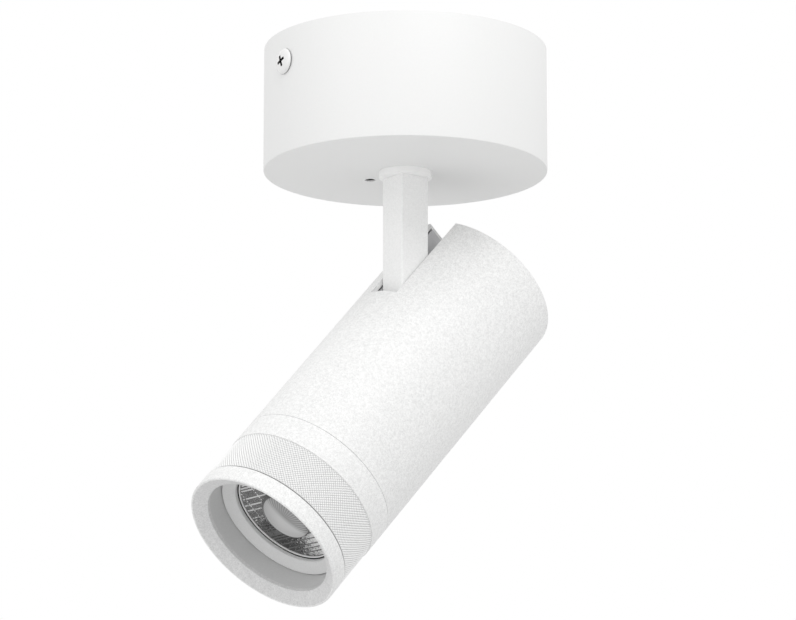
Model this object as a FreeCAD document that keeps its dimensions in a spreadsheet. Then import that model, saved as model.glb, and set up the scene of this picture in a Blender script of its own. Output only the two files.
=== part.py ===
"""Surface mounted ceiling spotlight with a tilting, focusing cylinder head.

Millimetres, +Z up. The origin is the centre of the canopy's ceiling plane. The arm hangs
down the Z axis, and at rest the head points towards -Y and down. Pieces of the head are
drawn in the head's own frame: its Z runs along the head's axis to the front, its Y points
to the slotted side, and its Z = 0 is level with the tilt pin.
"""
import FreeCAD, Part

import math
import os

import Sketcher

Vector = FreeCAD.Vector
ALONG_X = FreeCAD.Rotation(Vector(0, 1, 0), 90)

# Each size has its own number. A text in place of a number is a formula: that size follows
# from others that it has to fit.
SIZES = [
    # canopy cup and its side screws
    ("canopy_dia", 100.0),
    ("canopy_height", 44.5),
    ("canopy_wall", 1.5),
    ("canopy_edge", 0.6),
    ("side_screw_drop", 11.8),
    ("side_screw_dia", 4.0),
    ("side_screw_head_dia", 9.4),
    ("side_screw_head_height", 2.4),
    ("side_screw_reach", 7.0),
    ("screw_recess_width", 1.3),
    ("screw_recess_span", 5.2),
    ("screw_recess_depth", 1.5),
    # crossbar bracket on the ceiling
    ("bracket_width", 24.0),
    ("bracket_thickness", 1.5),
    ("bracket_ear_drop", 17.0),
    ("bracket_turn", -3.8),
    ("ceiling_hole_circle", 60.0),
    ("ceiling_hole_dia", 4.4),
    ("cable_hole_dia", 12.0),
    ("grommet_wall", 1.5),
    ("grommet_lip", 1.6),
    ("earth_place", 15.0),
    ("earth_screw_dia", 4.0),
    ("earth_screw_length", 3.0),
    ("earth_clamp_thickness", 2.0),
    # swivel of the arm in the canopy
    ("collar_dia", 19.2),
    ("collar_thickness", 1.5),
    ("bush_wall", 1.4),
    ("bush_rise", 1.0),
    ("stem_wall", 0.8),
    ("nipple_dia", "stem_side - 2 * stem_wall"),
    ("nipple_bore", 7.0),
    ("nipple_grip", 8.0),
    ("nipple_spare", 1.5),
    ("slip_washer_dia", 19.0),
    ("slip_washer_thickness", 0.8),
    ("stop_plate_dia", 18.0),
    ("stop_plate_thickness", 1.5),
    ("stop_tab_width", 3.0),
    ("stop_tab_overhang", 2.4),
    ("wave_washer_dia", 17.0),
    ("wave_washer_thickness", 1.2),
    ("lock_nut_flats", 14.0),
    ("lock_nut_height", 4.0),
    ("stop_screw_circle", 16.6),
    ("stop_screw_azimuth", 191.8),
    ("stop_screw_dia", 2.0),
    ("stop_screw_head_dia", 3.8),
    ("stop_screw_head_depth", 1.0),
    ("stop_screw_rim", 0.15),
    ("stop_screw_reach", 4.6),
    # arm
    ("stem_side", 11.6),
    ("stem_edge", 0.6),
    ("stem_length", 43.0),
    ("stem_bore", 6.0),
    ("wire_exit_dia", 4.5),
    ("wire_exit_rise", 6.0),
    ("stem_bore_rise", 8.6),
    ("stem_eye_step", 0.05),
    ("pivot_dia", 4.0),
    ("pivot_bush_wall", 1.0),
    # clearances
    ("fit_gap", 0.02),
    ("running_gap", 0.05),
    ("slide_gap", 0.1),
    ("seat_gap", 0.2),
    ("clear_gap", 0.3),
    # the light's mouth, which the lens, the sleeve, the ring and the shell are built round
    ("mouth_dia", 48.3),
    # head: pose, shell and slot. Its outside follows the mouth, by the side between them
    ("tilt_rest", 42.4),
    ("head_side", 5.25),
    ("head_dia", "mouth_dia + 2 * head_side"),
    ("arm_offset", 6.4),
    ("pivot_height", 20.92),
    ("shell_wall", 2.0),
    ("shell_end", 1.1),
    ("shell_rear", 32.5),
    ("shell_front", 72.7),
    ("shell_edge", 0.3),
    ("slot_play", 0.2),
    ("slot_clear", 0.6),
    # pivot block and heat sink
    ("block_front", 12.0),
    ("block_wall", 3.0),
    ("block_boss_dia", 9.0),
    ("shim_dia", 9.4),
    ("shim_thickness", 0.15),
    ("pin_left", 11.0),
    ("pin_right", 8.3),
    ("light_depth", 12.7),
    ("sink_front", "shell_front - light_depth"),
    ("sink_rear_plate", 3.0),
    ("sink_front_plate", 4.0),
    ("sink_core_dia", 22.0),
    ("fin_thickness", 1.4),
    ("fin_count", 12),
    ("wire_way_circle", 17.0),
    ("wire_way_dia", 3.5),
    ("wire_way_angle", 75.0),
    ("sink_screw_circle", 36.0),
    ("sink_screw_dia", 3.0),
    ("sink_screw_grip", 6.0),
    # guide sleeve
    ("sleeve_wall", 1.5),
    ("sleeve_base", 2.5),
    ("sleeve_base_width", 6.15),
    ("sleeve_base_bore", "mouth_dia - 2 * sleeve_base_width"),
    ("sleeve_screw_inset", 3.15),
    ("sleeve_screw_circle", "mouth_dia - 2 * sleeve_screw_inset"),
    ("sleeve_screw_dia", 2.5),
    ("sleeve_screw_grip", 3.0),
    ("drag_ring_cord", 1.0),
    ("drag_ring_depth", 1.6),
    ("drag_ring_place", "shell_front + drag_ring_depth"),
    # light source, in the sleeve's base
    ("pad_thickness", 0.3),
    ("board_thickness", 1.6),
    ("chip_dia", 13.0),
    ("chip_thickness", 0.8),
    ("holder_gap", 0.4),
    ("holder_dia", "sleeve_base_bore - 2 * holder_gap"),
    ("holder_chip_gap", 2.0),
    ("holder_bore", "chip_dia + 2 * holder_chip_gap"),
    ("holder_wall", 2.1),
    ("board_dia", "holder_dia - 2 * holder_wall"),
    ("holder_flare", 2.2),
    ("holder_edge", 1.0),
    ("holder_height", 3.2),
    ("led_screw_inset", 2.6),
    ("led_screw_circle", "board_dia - 2 * led_screw_inset"),
    ("led_screw_dia", 2.0),
    ("led_screw_grip", 3.0),
    # focus ring and bezel
    ("ring_smooth_width", 10.0),
    ("ring_knurl_width", 16.0),
    ("knurl_step", 0.15),
    ("knurl_dia", "head_dia - 2 * knurl_step"),
    ("cam_pitch", 36.0),
    ("cam_depth", 1.7),
    ("focus_back", 8.0),
    ("focus_forward", 4.0),
    ("cam_end_play", 0.6),
    ("bezel_gap", 0.8),
    ("bezel_length", 6.2),
    ("bezel_hub_wall", 1.5),
    ("bezel_thread", 2.0),
    ("bezel_flare_depth", 2.9),
    ("bezel_rim", 0.35),
    # lens carrier and lens. The lens follows the mouth, by the carrier's side between them
    ("lens_side", 3.35),
    ("lens_dia", "mouth_dia - 2 * lens_side"),
    ("lens_ledge", 1.0),
    ("lens_window_dia", "lens_dia - 2 * lens_ledge"),
    ("guide_pin_dia", 3.0),
    ("guide_pin_depth", 13.8),
    ("guide_pin_place", "shell_front + guide_pin_depth"),
    ("carrier_nose", 8.3),
    ("carrier_front", "guide_pin_place + carrier_nose"),
    ("carrier_funnel", 2.2),
    ("carrier_lip", 1.2),
    ("carrier_length", 14.0),
    ("gasket_thickness", 0.6),
    ("lens_edge", 3.0),
    ("lens_dome_dia", 18.0),
    ("lens_dome_rise", 1.6),
    ("lens_back_inset", 5.8),
    ("lens_back_dia", "lens_dia - 2 * lens_back_inset"),
    ("lens_back_depth", 4.5),
    ("lens_back_hollow", 1.5),
    ("retainer_thickness", 1.6),
    ("retainer_ledge", 3.3),
    ("retainer_bore", "lens_dia - 2 * retainer_ledge"),
    # driver in the canopy: it fills the floor between the stop tab's sweep and the cup's wall
    ("driver_tab_gap", 1.5),
    ("driver_wall_gap", 1.95),
    ("driver_corner_angle", 24.09),
    ("driver_corner_reach", "canopy_dia / 2 - canopy_wall - driver_wall_gap"),
    ("driver_inside", "stop_screw_circle + stop_tab_overhang + driver_tab_gap"),
    ("driver_outside", "driver_corner_reach * cos(driver_corner_angle)"),
    ("driver_length", "2 * driver_corner_reach * sin(driver_corner_angle)"),
    ("driver_width", "driver_outside - driver_inside"),
    ("driver_height", 22.0),
    ("driver_wall", 1.2),
    ("driver_lid", 1.6),
    ("driver_board_thickness", 1.6),
    ("driver_board_rise", 3.0),
    ("driver_foot", 7.0),
    ("driver_foot_thickness", 2.0),
    ("driver_foot_width", 10.0),
    ("transformer_side", 11.0),
    ("capacitor_dia", 7.4),
    ("capacitor_height", 12.4),
    ("capacitor_inset", 7.1),
    ("stud_dia", 3.0),
    ("stud_spare", 1.2),
    ("stud_nut_flats", 5.5),
    ("stud_nut_height", 2.4),
    # terminal block: its outer corners keep their distance from the cup's wall
    ("terminal_wall_gap", 7.65),
    ("terminal_length", 30.0),
    ("terminal_width", 14.0),
    ("terminal_height", 13.0),
    ("terminal_reach", "canopy_dia / 2 - canopy_wall - terminal_wall_gap"),
    ("terminal_outside", "sqrt(terminal_reach ^ 2 - (terminal_length / 2) ^ 2)"),
    ("terminal_ways", 3),
    ("terminal_screw_dia", 3.4),
    ("terminal_screw_length", 4.5),
    ("terminal_screw_spread", 7.0),
    ("terminal_well_depth", 6.5),
    ("terminal_wire_dia", 3.2),
    ("terminal_wire_rise", 3.9),
]

PAST = 1.0              # how far a cutting tool runs past what it cuts
ROUND = 360.0           # a full turn
PAN_HEAD_WIDTH = 1.8    # a small pan head's width, for a shank one wide
PAN_HEAD_HEIGHT = 0.6   # and its height
PAN_PROFILE = [(1.0, 0.35), (0.8, 0.8), (0.45, 1.0)]  # a pan head's curve, by radius and height
DOME_STEPS = 4          # flats that make up the lens's domed middle
GUIDES = 3              # guide pins, with their slots and cam grooves
SLEEVE_SCREWS = 3
SINK_SCREWS = 2
LED_SCREWS = 2

doc = FreeCAD.newDocument("spotlight")
sheet = doc.addObject("Spreadsheet::Sheet", "Sizes")


class Size:
    """A number together with its spreadsheet formula."""

    def __init__(self, text, value):
        self.text = text
        self.value = float(value)

    def __add__(self, other):
        other = as_size(other)
        return Size(f"({self.text} + {other.text})", self.value + other.value)

    def __sub__(self, other):
        other = as_size(other)
        return Size(f"({self.text} - {other.text})", self.value - other.value)

    def __mul__(self, other):
        other = as_size(other)
        return Size(f"({self.text} * {other.text})", self.value * other.value)

    def __truediv__(self, other):
        other = as_size(other)
        return Size(f"({self.text} / {other.text})", self.value / other.value)

    def __radd__(self, other):
        return as_size(other) + self

    def __rsub__(self, other):
        return as_size(other) - self

    def __rmul__(self, other):
        return as_size(other) * self

    def __neg__(self):
        return Size(f"(0 - {self.text})", -self.value)


def as_size(number):
    if isinstance(number, Size):
        return number
    return Size(f"{float(number):.6f}", number)


def sine(angle):
    return Size(f"sin({angle.text})", math.sin(math.radians(angle.value)))


def cosine(angle):
    return Size(f"cos({angle.text})", math.cos(math.radians(angle.value)))


def root(number):
    return Size(f"sqrt({number.text})", math.sqrt(number.value))


def read_sizes():
    """Fill the sheet, one alias a row, and give back each alias as a Size."""
    for row, (name, value) in enumerate(SIZES, start=1):
        sheet.set(f"A{row}", name)
        sheet.setAlias(f"B{row}", name)
        sheet.set(f"B{row}", f"={value}")
    doc.recompute()
    return {name: Size(f"Sizes.{name}", sheet.get(name)) for name, _ in SIZES}


D = read_sizes()


def half(name):
    return D[name] / 2


# ---------------------------------------------------------------- shared helpers

def bind(thing, prop, size):
    thing.setExpression(prop, as_size(size).text)


def move(thing, x=0, y=0, z=0):
    for axis, size in zip("xyz", (x, y, z)):
        size = as_size(size)
        if size.value or "Sizes" in size.text:
            bind(thing, f"Placement.Base.{axis}", size)
    return thing


def turn_z(thing, angle):
    """Turn a piece about the Z axis, and keep its place."""
    thing.Placement.Rotation = FreeCAD.Rotation(Vector(0, 0, 1), as_size(angle).value)
    bind(thing, "Placement.Rotation.Angle", angle)
    return thing


def new_body(name):
    return doc.addObject("PartDesign::Body", name)


def new_sketch(body, role, rise=0):
    """A sketch on one of the body's own origin planes, raised along the plane's normal."""
    sketch = body.newObject("Sketcher::SketchObject", f"{body.Name}_sketch")
    planes = [feature for feature in body.Origin.OriginFeatures if feature.Role == role]
    sketch.AttachmentSupport = [(planes[0], "")]
    sketch.MapMode = "FlatFace"
    rise = as_size(rise)
    if rise.value or "Sizes" in rise.text:
        bind(sketch, "AttachmentOffset.Base.z", rise)
    return sketch


def tie_point(sketch, line, end, x, y):
    """Hold one end of a sketch line at x, y."""
    for kind, size, other_axis in (("DistanceX", x, -2), ("DistanceY", y, -1)):
        size = as_size(size)
        if "Sizes" not in size.text and abs(size.value) < 1e-9:
            sketch.addConstraint(Sketcher.Constraint("PointOnObject", line, end, other_axis))
        else:
            number = sketch.addConstraint(
                Sketcher.Constraint(kind, -1, 1, line, end, size.value))
            bind(sketch, f"Constraints[{number}]", size)


def add_outline(sketch, points):
    """A closed outline of straight runs through points, each given as two sizes."""
    first = sketch.GeometryCount
    count = len(points)
    corners = [Vector(as_size(x).value, as_size(y).value, 0) for x, y in points]
    for index in range(count):
        line = Part.LineSegment(corners[index], corners[(index + 1) % count])
        sketch.addGeometry(line)
    for index in range(count):
        after = first + (index + 1) % count
        sketch.addConstraint(Sketcher.Constraint("Coincident", first + index, 2, after, 1))
    for index, (x, y) in enumerate(points):
        tie_point(sketch, first + index, 1, x, y)


def add_circle(sketch, radius, x=0, y=0):
    centre = Vector(as_size(x).value, as_size(y).value, 0)
    circle = sketch.addGeometry(Part.Circle(centre, Vector(0, 0, 1), radius.value))
    tie_point(sketch, circle, 3, x, y)
    number = sketch.addConstraint(Sketcher.Constraint("Radius", circle, radius.value))
    bind(sketch, f"Constraints[{number}]", radius)


def spin(body, points):
    """Turn an outline of (radius, height) points about the body's Z axis."""
    sketch = new_sketch(body, "XZ_Plane")
    add_outline(sketch, points)
    feature = body.newObject("PartDesign::Revolution", f"{body.Name}_turned")
    feature.Profile = sketch
    feature.ReferenceAxis = (sketch, ["V_Axis"])
    feature.Angle = ROUND
    return feature


def push(body, sketch, length, cut=False):
    """Pad or pocket a sketch along its plane's normal."""
    if cut:
        feature = body.newObject("PartDesign::Pocket", f"{body.Name}_cut")
        feature.Reversed = True
    else:
        feature = body.newObject("PartDesign::Pad", f"{body.Name}_pad")
    feature.Profile = sketch
    bind(feature, "Length", length)
    return feature


def push_outline(body, role, rise, length, points, cut=False):
    sketch = new_sketch(body, role, rise)
    add_outline(sketch, points)
    return push(body, sketch, length, cut)


def push_circle(body, role, rise, length, radius, x=0, y=0, cut=False):
    sketch = new_sketch(body, role, rise)
    add_circle(sketch, radius, x, y)
    return push(body, sketch, length, cut)


def oblong(x_low, x_high, y_low, y_high):
    return [(x_low, y_low), (x_high, y_low), (x_high, y_high), (x_low, y_high)]


def cylinder(name, radius, height, x=0, y=0, z=0, along_x=False):
    shape = doc.addObject("Part::Cylinder", name)
    bind(shape, "Radius", radius)
    bind(shape, "Height", height)
    if along_x:
        shape.Placement.Rotation = ALONG_X
    return move(shape, x, y, z)


def box(name, low, high):
    """A box between two corners, each given as three sizes."""
    shape = doc.addObject("Part::Box", name)
    for prop, start, end in zip(("Length", "Width", "Height"), low, high):
        bind(shape, prop, as_size(end) - start)
    return move(shape, *low)


def cut(name, base, tools):
    result = doc.addObject("Part::Cut", name)
    result.Base = base
    result.Tool = tools[0] if len(tools) == 1 else group(f"{name}_tools", tools)
    return result


def fuse(name, pieces):
    result = doc.addObject("Part::MultiFuse", name)
    result.Shapes = pieces
    return result


def group(name, pieces):
    result = doc.addObject("Part::Compound", name)
    result.Links = pieces
    return result


def hexagon(flats):
    """The six corners of a hexagon, given its width across flats."""
    sixth = as_size(ROUND / 6)
    corner = flats / 2 / cosine(sixth / 2)
    angles = [sixth * index + sixth / 2 for index in range(6)]
    return [(corner * cosine(angle), corner * sine(angle)) for angle in angles]


def washer(name, outer, inner, thickness, z=0):
    """A flat ring whose lower face is at z."""
    blank = cylinder(f"{name}_blank", outer, thickness, z=z)
    hole = cylinder(f"{name}_hole", inner, thickness + 2 * PAST, z=as_size(z) - PAST)
    return cut(name, blank, [hole])


def pan_screw(name, shank, length, head, head_height):
    """A pan-head screw that points down: its head sits on Z = 0 and its shank is below."""
    body = new_body(name)
    curve = [(head * across, head_height * up) for across, up in PAN_PROFILE]
    spin(body, [(0, -length), (shank, -length), (shank, 0), (head, 0)]
         + curve + [(0, head_height)])
    return body


def small_screw(name, size, length):
    """A stock pan-head screw, given the name of its shank's diameter."""
    return pan_screw(name, half(size), length, half(size) * PAN_HEAD_WIDTH,
                     D[size] * PAN_HEAD_HEIGHT)


def ring_of(name, make, count, circle, start, z, in_head=False):
    """Equal copies of a piece on a circle about the Z axis, as one group."""
    copies = []
    for index in range(count):
        angle = as_size(start) + ROUND * index / count
        copy = make(f"{name}_{index + 1}")
        move(copy, circle * cosine(angle), circle * sine(angle), z)
        copies.append(copy)
    result = group(name, copies)
    return in_the_head(result) if in_head else result


# ---------------------------------------------------------------- levels and frames

UNDERSIDE = -D["canopy_height"]
FLOOR = UNDERSIDE + D["canopy_wall"]
CUP_INSIDE = half("canopy_dia") - D["canopy_wall"]
NIPPLE_RADIUS = half("nipple_dia")
BUSH_BORE = NIPPLE_RADIUS + D["running_gap"]
BUSH_OUTSIDE = BUSH_BORE + D["bush_wall"]
COLLAR_FACE = UNDERSIDE - D["collar_thickness"]
STEM_TOP = COLLAR_FACE - D["slide_gap"]
PIVOT_Z = STEM_TOP - D["stem_length"]
SLIP_WASHER_Z = FLOOR + D["bush_rise"] + D["running_gap"]
STOP_PLATE_Z = SLIP_WASHER_Z + D["slip_washer_thickness"] + D["running_gap"]
WAVE_WASHER_Z = STOP_PLATE_Z + D["stop_plate_thickness"]
LOCK_NUT_Z = WAVE_WASHER_Z + D["wave_washer_thickness"]
NIPPLE_TOP = LOCK_NUT_Z + D["lock_nut_height"] + D["nipple_spare"]

HEAD_TURN = ROUND / 2 - D["tilt_rest"]
HEAD_RADIUS = half("head_dia")
SHELL_INSIDE = HEAD_RADIUS - D["shell_wall"]
BLOCK_RADIUS = SHELL_INSIDE - D["seat_gap"]
EYE = half("stem_side")
SLOT_HALF = EYE + D["slot_play"]
SLOT_LEFT = D["arm_offset"] - SLOT_HALF
SLOT_RIGHT = D["arm_offset"] + SLOT_HALF
SLOT_FLOOR = D["pivot_height"] - EYE - D["slot_clear"]
SLOT_FRONT = EYE + D["slot_clear"]
PIN_RADIUS = half("pivot_dia")
REAR_INSIDE = D["shell_end"] - D["shell_rear"]

MOUTH = half("mouth_dia")
SLEEVE_OUTSIDE = MOUTH + D["sleeve_wall"]
PAD_Z = D["sink_front"]
BOARD_Z = PAD_Z + D["pad_thickness"]
CHIP_Z = BOARD_Z + D["board_thickness"]
RING_BACK = D["shell_front"] + D["clear_gap"]
KNURL_BACK = D["shell_front"] + D["ring_smooth_width"]
RING_FRONT = KNURL_BACK + D["ring_knurl_width"]
BEZEL_BACK = RING_FRONT + D["bezel_gap"]
BEZEL_FRONT = BEZEL_BACK + D["bezel_length"]
SLEEVE_END = BEZEL_BACK + D["bezel_thread"]
RING_BORE = SLEEVE_OUTSIDE + D["running_gap"]
CAM_BOTTOM = RING_BORE + D["cam_depth"]
CAM_START = D["guide_pin_place"] - D["focus_back"] - D["cam_end_play"]
CAM_RUN = D["focus_back"] + D["focus_forward"] + 2 * D["cam_end_play"]
PIN_AZIMUTH = (D["focus_back"] + D["cam_end_play"]) / D["cam_pitch"] * ROUND
GUIDE_PIN = half("guide_pin_dia")
CARRIER_OUTSIDE = MOUTH - D["slide_gap"]
CARRIER_BACK = D["carrier_front"] - D["carrier_length"]
WINDOW_Z = D["carrier_front"] - D["carrier_funnel"]
LENS_SEAT = WINDOW_Z - D["carrier_lip"]
LENS_POCKET = half("lens_dia") + D["fit_gap"]
LENS_FRONT = LENS_SEAT - D["gasket_thickness"]
LENS_BACK = LENS_FRONT - D["lens_edge"]

DRIVER_X = D["driver_outside"] - half("driver_width")
TERMINAL_X = half("terminal_width") - D["terminal_outside"]
WELL_FLOOR = FLOOR + D["terminal_height"] - D["terminal_well_depth"]


def in_the_head(thing):
    """Place a piece drawn in the head's frame, so that the pin axis meets the arm's eye."""
    thing.Placement.Rotation = FreeCAD.Rotation(Vector(1, 0, 0), HEAD_TURN.value)
    bind(thing, "Placement.Rotation.Angle", HEAD_TURN)
    return move(
        thing,
        -D["arm_offset"],
        -D["pivot_height"] * cosine(HEAD_TURN),
        PIVOT_Z - D["pivot_height"] * sine(HEAD_TURN),
    )


# ---------------------------------------------------------------- canopy

def canopy_cup():
    """The white cup: its mouth is on the ceiling, and its floor carries the arm."""
    body = new_body("canopy_cup")
    radius = half("canopy_dia")
    edge = D["canopy_edge"]
    spin(body, [
        (BUSH_OUTSIDE + D["fit_gap"], UNDERSIDE),
        (radius - edge, UNDERSIDE),
        (radius, UNDERSIDE + edge),
        (radius, 0),
        (CUP_INSIDE, 0),
        (CUP_INSIDE, FLOOR),
        (BUSH_OUTSIDE + D["fit_gap"], FLOOR),
    ])
    hole = half("side_screw_dia") + D["seat_gap"]
    push_circle(body, "XZ_Plane", -radius - PAST, D["canopy_dia"] + 2 * PAST, hole,
                0, -D["side_screw_drop"], cut=True)
    azimuth = D["stop_screw_azimuth"] - D["bracket_turn"]
    stop_x = D["stop_screw_circle"] * cosine(azimuth)
    stop_y = D["stop_screw_circle"] * sine(azimuth)
    push_circle(body, "XY_Plane", UNDERSIDE - PAST, D["canopy_wall"] + 2 * PAST,
                half("stop_screw_dia") + D["fit_gap"], stop_x, stop_y, cut=True)
    push_circle(body, "XY_Plane", UNDERSIDE, D["stop_screw_head_depth"],
                half("stop_screw_head_dia") + D["fit_gap"], stop_x, stop_y, cut=True)
    return turn_z(body, D["bracket_turn"])


def ceiling_bracket():
    """A steel crossbar, with two holes for ceiling screws and an ear at each end."""
    body = new_body("ceiling_bracket")
    side = half("bracket_width")
    reach = CUP_INSIDE - D["clear_gap"]
    chord = root(reach * reach - side * side)
    thickness = D["bracket_thickness"]
    push_outline(body, "XY_Plane", -thickness, thickness, oblong(-side, side, -chord, chord))
    holes = [(0, "cable_hole_dia", 0), (D["earth_place"], "earth_screw_dia", D["fit_gap"])]
    for end in (-1, 1):
        inner = end * (chord - thickness)
        outer = end * chord
        push_outline(body, "XY_Plane", -D["bracket_ear_drop"], D["bracket_ear_drop"],
                     oblong(-side, side, inner, outer))
        holes.append((end * half("ceiling_hole_circle"), "ceiling_hole_dia", 0))
    for y, diameter, gap in holes:
        push_circle(body, "XY_Plane", -thickness - PAST, thickness + 2 * PAST,
                    half(diameter) + gap,
                    0, y, cut=True)
    push_circle(body, "XZ_Plane", -chord - PAST, 2 * (chord + PAST),
                half("side_screw_dia") + D["fit_gap"], 0, -D["side_screw_drop"], cut=True)
    return turn_z(body, D["bracket_turn"])


def canopy_side_screws():
    """Two cross-recess screws that pull the cup onto the bracket's ears."""
    screws = []
    for side, turn in ((-1, 90), (1, -90)):
        blank = pan_screw(
            f"side_screw_{len(screws) + 1}", half("side_screw_dia"), D["side_screw_reach"],
            half("side_screw_head_dia"), D["side_screw_head_height"])
        arm = half("screw_recess_width")
        span = half("screw_recess_span")
        bottom = D["side_screw_head_height"] - D["screw_recess_depth"]
        top = D["side_screw_head_height"] + PAST
        tools = [
            box(f"recess_{len(screws)}_a", (-arm, -span, bottom), (arm, span, top)),
            box(f"recess_{len(screws)}_b", (-span, -arm, bottom), (span, arm, top)),
        ]
        screw = cut(f"side_screw_{len(screws) + 1}_cut", blank, tools)
        screw.Placement.Rotation = FreeCAD.Rotation(Vector(1, 0, 0), turn)
        move(screw, 0, side * half("canopy_dia"), -D["side_screw_drop"])
        screws.append(screw)
    return turn_z(group("canopy_side_screws", screws), D["bracket_turn"])


def cable_grommet():
    """A rubber ring that lines the bracket's cable hole."""
    body = new_body("cable_grommet")
    hole = half("cable_hole_dia")
    bore = hole - D["grommet_wall"]
    lip = hole + D["grommet_lip"]
    below = -D["bracket_thickness"] - D["fit_gap"]
    spin(body, [
        (bore, 0), (bore, below - D["grommet_lip"]), (lip, below - D["grommet_lip"]),
        (lip, below), (hole - D["fit_gap"], below), (hole - D["fit_gap"], 0),
    ])
    return body


def earth_screw():
    """The earth terminal's screw, which points up into the bracket."""
    screw = small_screw("earth_screw_body", "earth_screw_dia", D["earth_screw_length"])
    screw.Placement.Rotation = FreeCAD.Rotation(Vector(1, 0, 0), 180)
    move(screw, 0, D["earth_place"], -D["bracket_thickness"] - D["earth_clamp_thickness"])
    return turn_z(group("earth_screw", [screw]), D["bracket_turn"])


def earth_clamp():
    """The square plate that holds an earth wire under the screw's head."""
    side = D["earth_screw_dia"]
    top = -D["bracket_thickness"]
    low = top - D["earth_clamp_thickness"]
    plate = box("earth_clamp_plate", (-side, D["earth_place"] - side, low),
                (side, D["earth_place"] + side, top))
    hole = cylinder("earth_clamp_hole", half("earth_screw_dia") + D["fit_gap"],
                    D["earth_clamp_thickness"] + 2 * PAST, 0, D["earth_place"],
                    low - PAST)
    return turn_z(cut("earth_clamp", plate, [hole]), D["bracket_turn"])


# ---------------------------------------------------------------- swivel and arm

def swivel_bush():
    """The flanged white bush: its flange is the collar seen under the canopy."""
    body = new_body("swivel_bush")
    collar = half("collar_dia")
    edge = D["canopy_edge"] / 2
    spin(body, [
        (BUSH_BORE, COLLAR_FACE), (collar - edge, COLLAR_FACE), (collar, COLLAR_FACE + edge),
        (collar, UNDERSIDE), (BUSH_OUTSIDE, UNDERSIDE), (BUSH_OUTSIDE, FLOOR + D["bush_rise"]),
        (BUSH_BORE, FLOOR + D["bush_rise"]),
    ])
    return body


def stop_screw():
    """The small countersunk screw in the underside, whose shank stops the swivel."""
    radius = half("stop_screw_dia")
    head = half("stop_screw_head_dia")
    body = new_body("stop_screw")
    depth = D["stop_screw_head_depth"]
    spin(body, [
        (0, 0), (head, 0), (head, D["stop_screw_rim"]), (radius, depth),
        (radius, D["canopy_wall"] + D["stop_screw_reach"]),
        (0, D["canopy_wall"] + D["stop_screw_reach"]),
    ])
    azimuth = D["stop_screw_azimuth"]
    return move(body, D["stop_screw_circle"] * cosine(azimuth),
                D["stop_screw_circle"] * sine(azimuth), UNDERSIDE)


def stem():
    """The square arm: hollow for the wires, with a rounded eye for the tilt pin."""
    body = new_body("stem")
    edge = D["stem_edge"]
    side = EYE
    inner = side - edge
    octagon = [
        (-inner, -side), (inner, -side), (side, -inner), (side, inner),
        (inner, side), (-inner, side), (-side, inner), (-side, -inner),
    ]
    push_outline(body, "XY_Plane", PIVOT_Z, D["stem_length"], octagon)
    push_circle(body, "YZ_Plane", -side, D["stem_side"], side - D["stem_eye_step"], 0, PIVOT_Z)
    wide = half("nipple_dia") + D["fit_gap"]
    push_circle(body, "XY_Plane", STEM_TOP - D["nipple_grip"], D["nipple_grip"] + PAST, wide,
                cut=True)
    bore_low = PIVOT_Z + D["stem_bore_rise"]
    push_circle(body, "XY_Plane", bore_low, STEM_TOP - bore_low, half("stem_bore"), cut=True)
    push_circle(body, "XZ_Plane", -side - PAST, side + PAST, half("wire_exit_dia"),
                0, bore_low + D["wire_exit_rise"] / 2, cut=True)
    eye_bore = PIN_RADIUS + D["running_gap"] + D["pivot_bush_wall"] + D["fit_gap"]
    push_circle(body, "YZ_Plane", -side - PAST, D["stem_side"] + 2 * PAST, eye_bore,
                0, PIVOT_Z, cut=True)
    return body


def pivot_bush():
    """The plain bearing pressed into the arm's eye."""
    bore = PIN_RADIUS + D["running_gap"]
    outer = cylinder("pivot_bush_blank", bore + D["pivot_bush_wall"], D["stem_side"],
                     -EYE, 0, PIVOT_Z, along_x=True)
    inner = cylinder("pivot_bush_hole", bore, D["stem_side"] + 2 * PAST,
                     -EYE - PAST, 0, PIVOT_Z, along_x=True)
    return cut("pivot_bush", outer, [inner])


def stem_nipple():
    """The hollow threaded tube that ties the arm to the canopy."""
    low = STEM_TOP - D["nipple_grip"]
    outer = cylinder("nipple_blank", NIPPLE_RADIUS, NIPPLE_TOP - low, z=low)
    inner = cylinder("nipple_hole", half("nipple_bore"), NIPPLE_TOP - low + 2 * PAST,
                     z=low - PAST)
    return cut("stem_nipple", outer, [inner])


def slip_washer():
    return washer("slip_washer", half("slip_washer_dia"), BUSH_BORE,
                  D["slip_washer_thickness"], SLIP_WASHER_Z)


def stop_plate():
    """A plate keyed to the nipple: its tab meets the stop screw just short of a full turn."""
    body = new_body("stop_plate")
    push_circle(body, "XY_Plane", 0, D["stop_plate_thickness"], half("stop_plate_dia"))
    tab = half("stop_tab_width")
    push_outline(body, "XY_Plane", 0, D["stop_plate_thickness"],
                 oblong(0, D["stop_screw_circle"] + D["stop_tab_overhang"], -tab, tab))
    push_circle(body, "XY_Plane", -PAST, D["stop_plate_thickness"] + 2 * PAST,
                NIPPLE_RADIUS + D["fit_gap"], cut=True)
    turn_z(body, D["stop_screw_azimuth"] - ROUND / 2)
    return move(body, z=STOP_PLATE_Z)


def wave_washer():
    return washer("wave_washer", half("wave_washer_dia"), NIPPLE_RADIUS + D["fit_gap"],
                  D["wave_washer_thickness"], WAVE_WASHER_Z)


def lock_nut():
    body = new_body("lock_nut")
    push_outline(body, "XY_Plane", 0, D["lock_nut_height"], hexagon(D["lock_nut_flats"]))
    push_circle(body, "XY_Plane", -PAST, D["lock_nut_height"] + 2 * PAST,
                NIPPLE_RADIUS + D["fit_gap"], cut=True)
    return move(body, z=LOCK_NUT_Z)


# ---------------------------------------------------------------- head: shell and hinge

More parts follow.
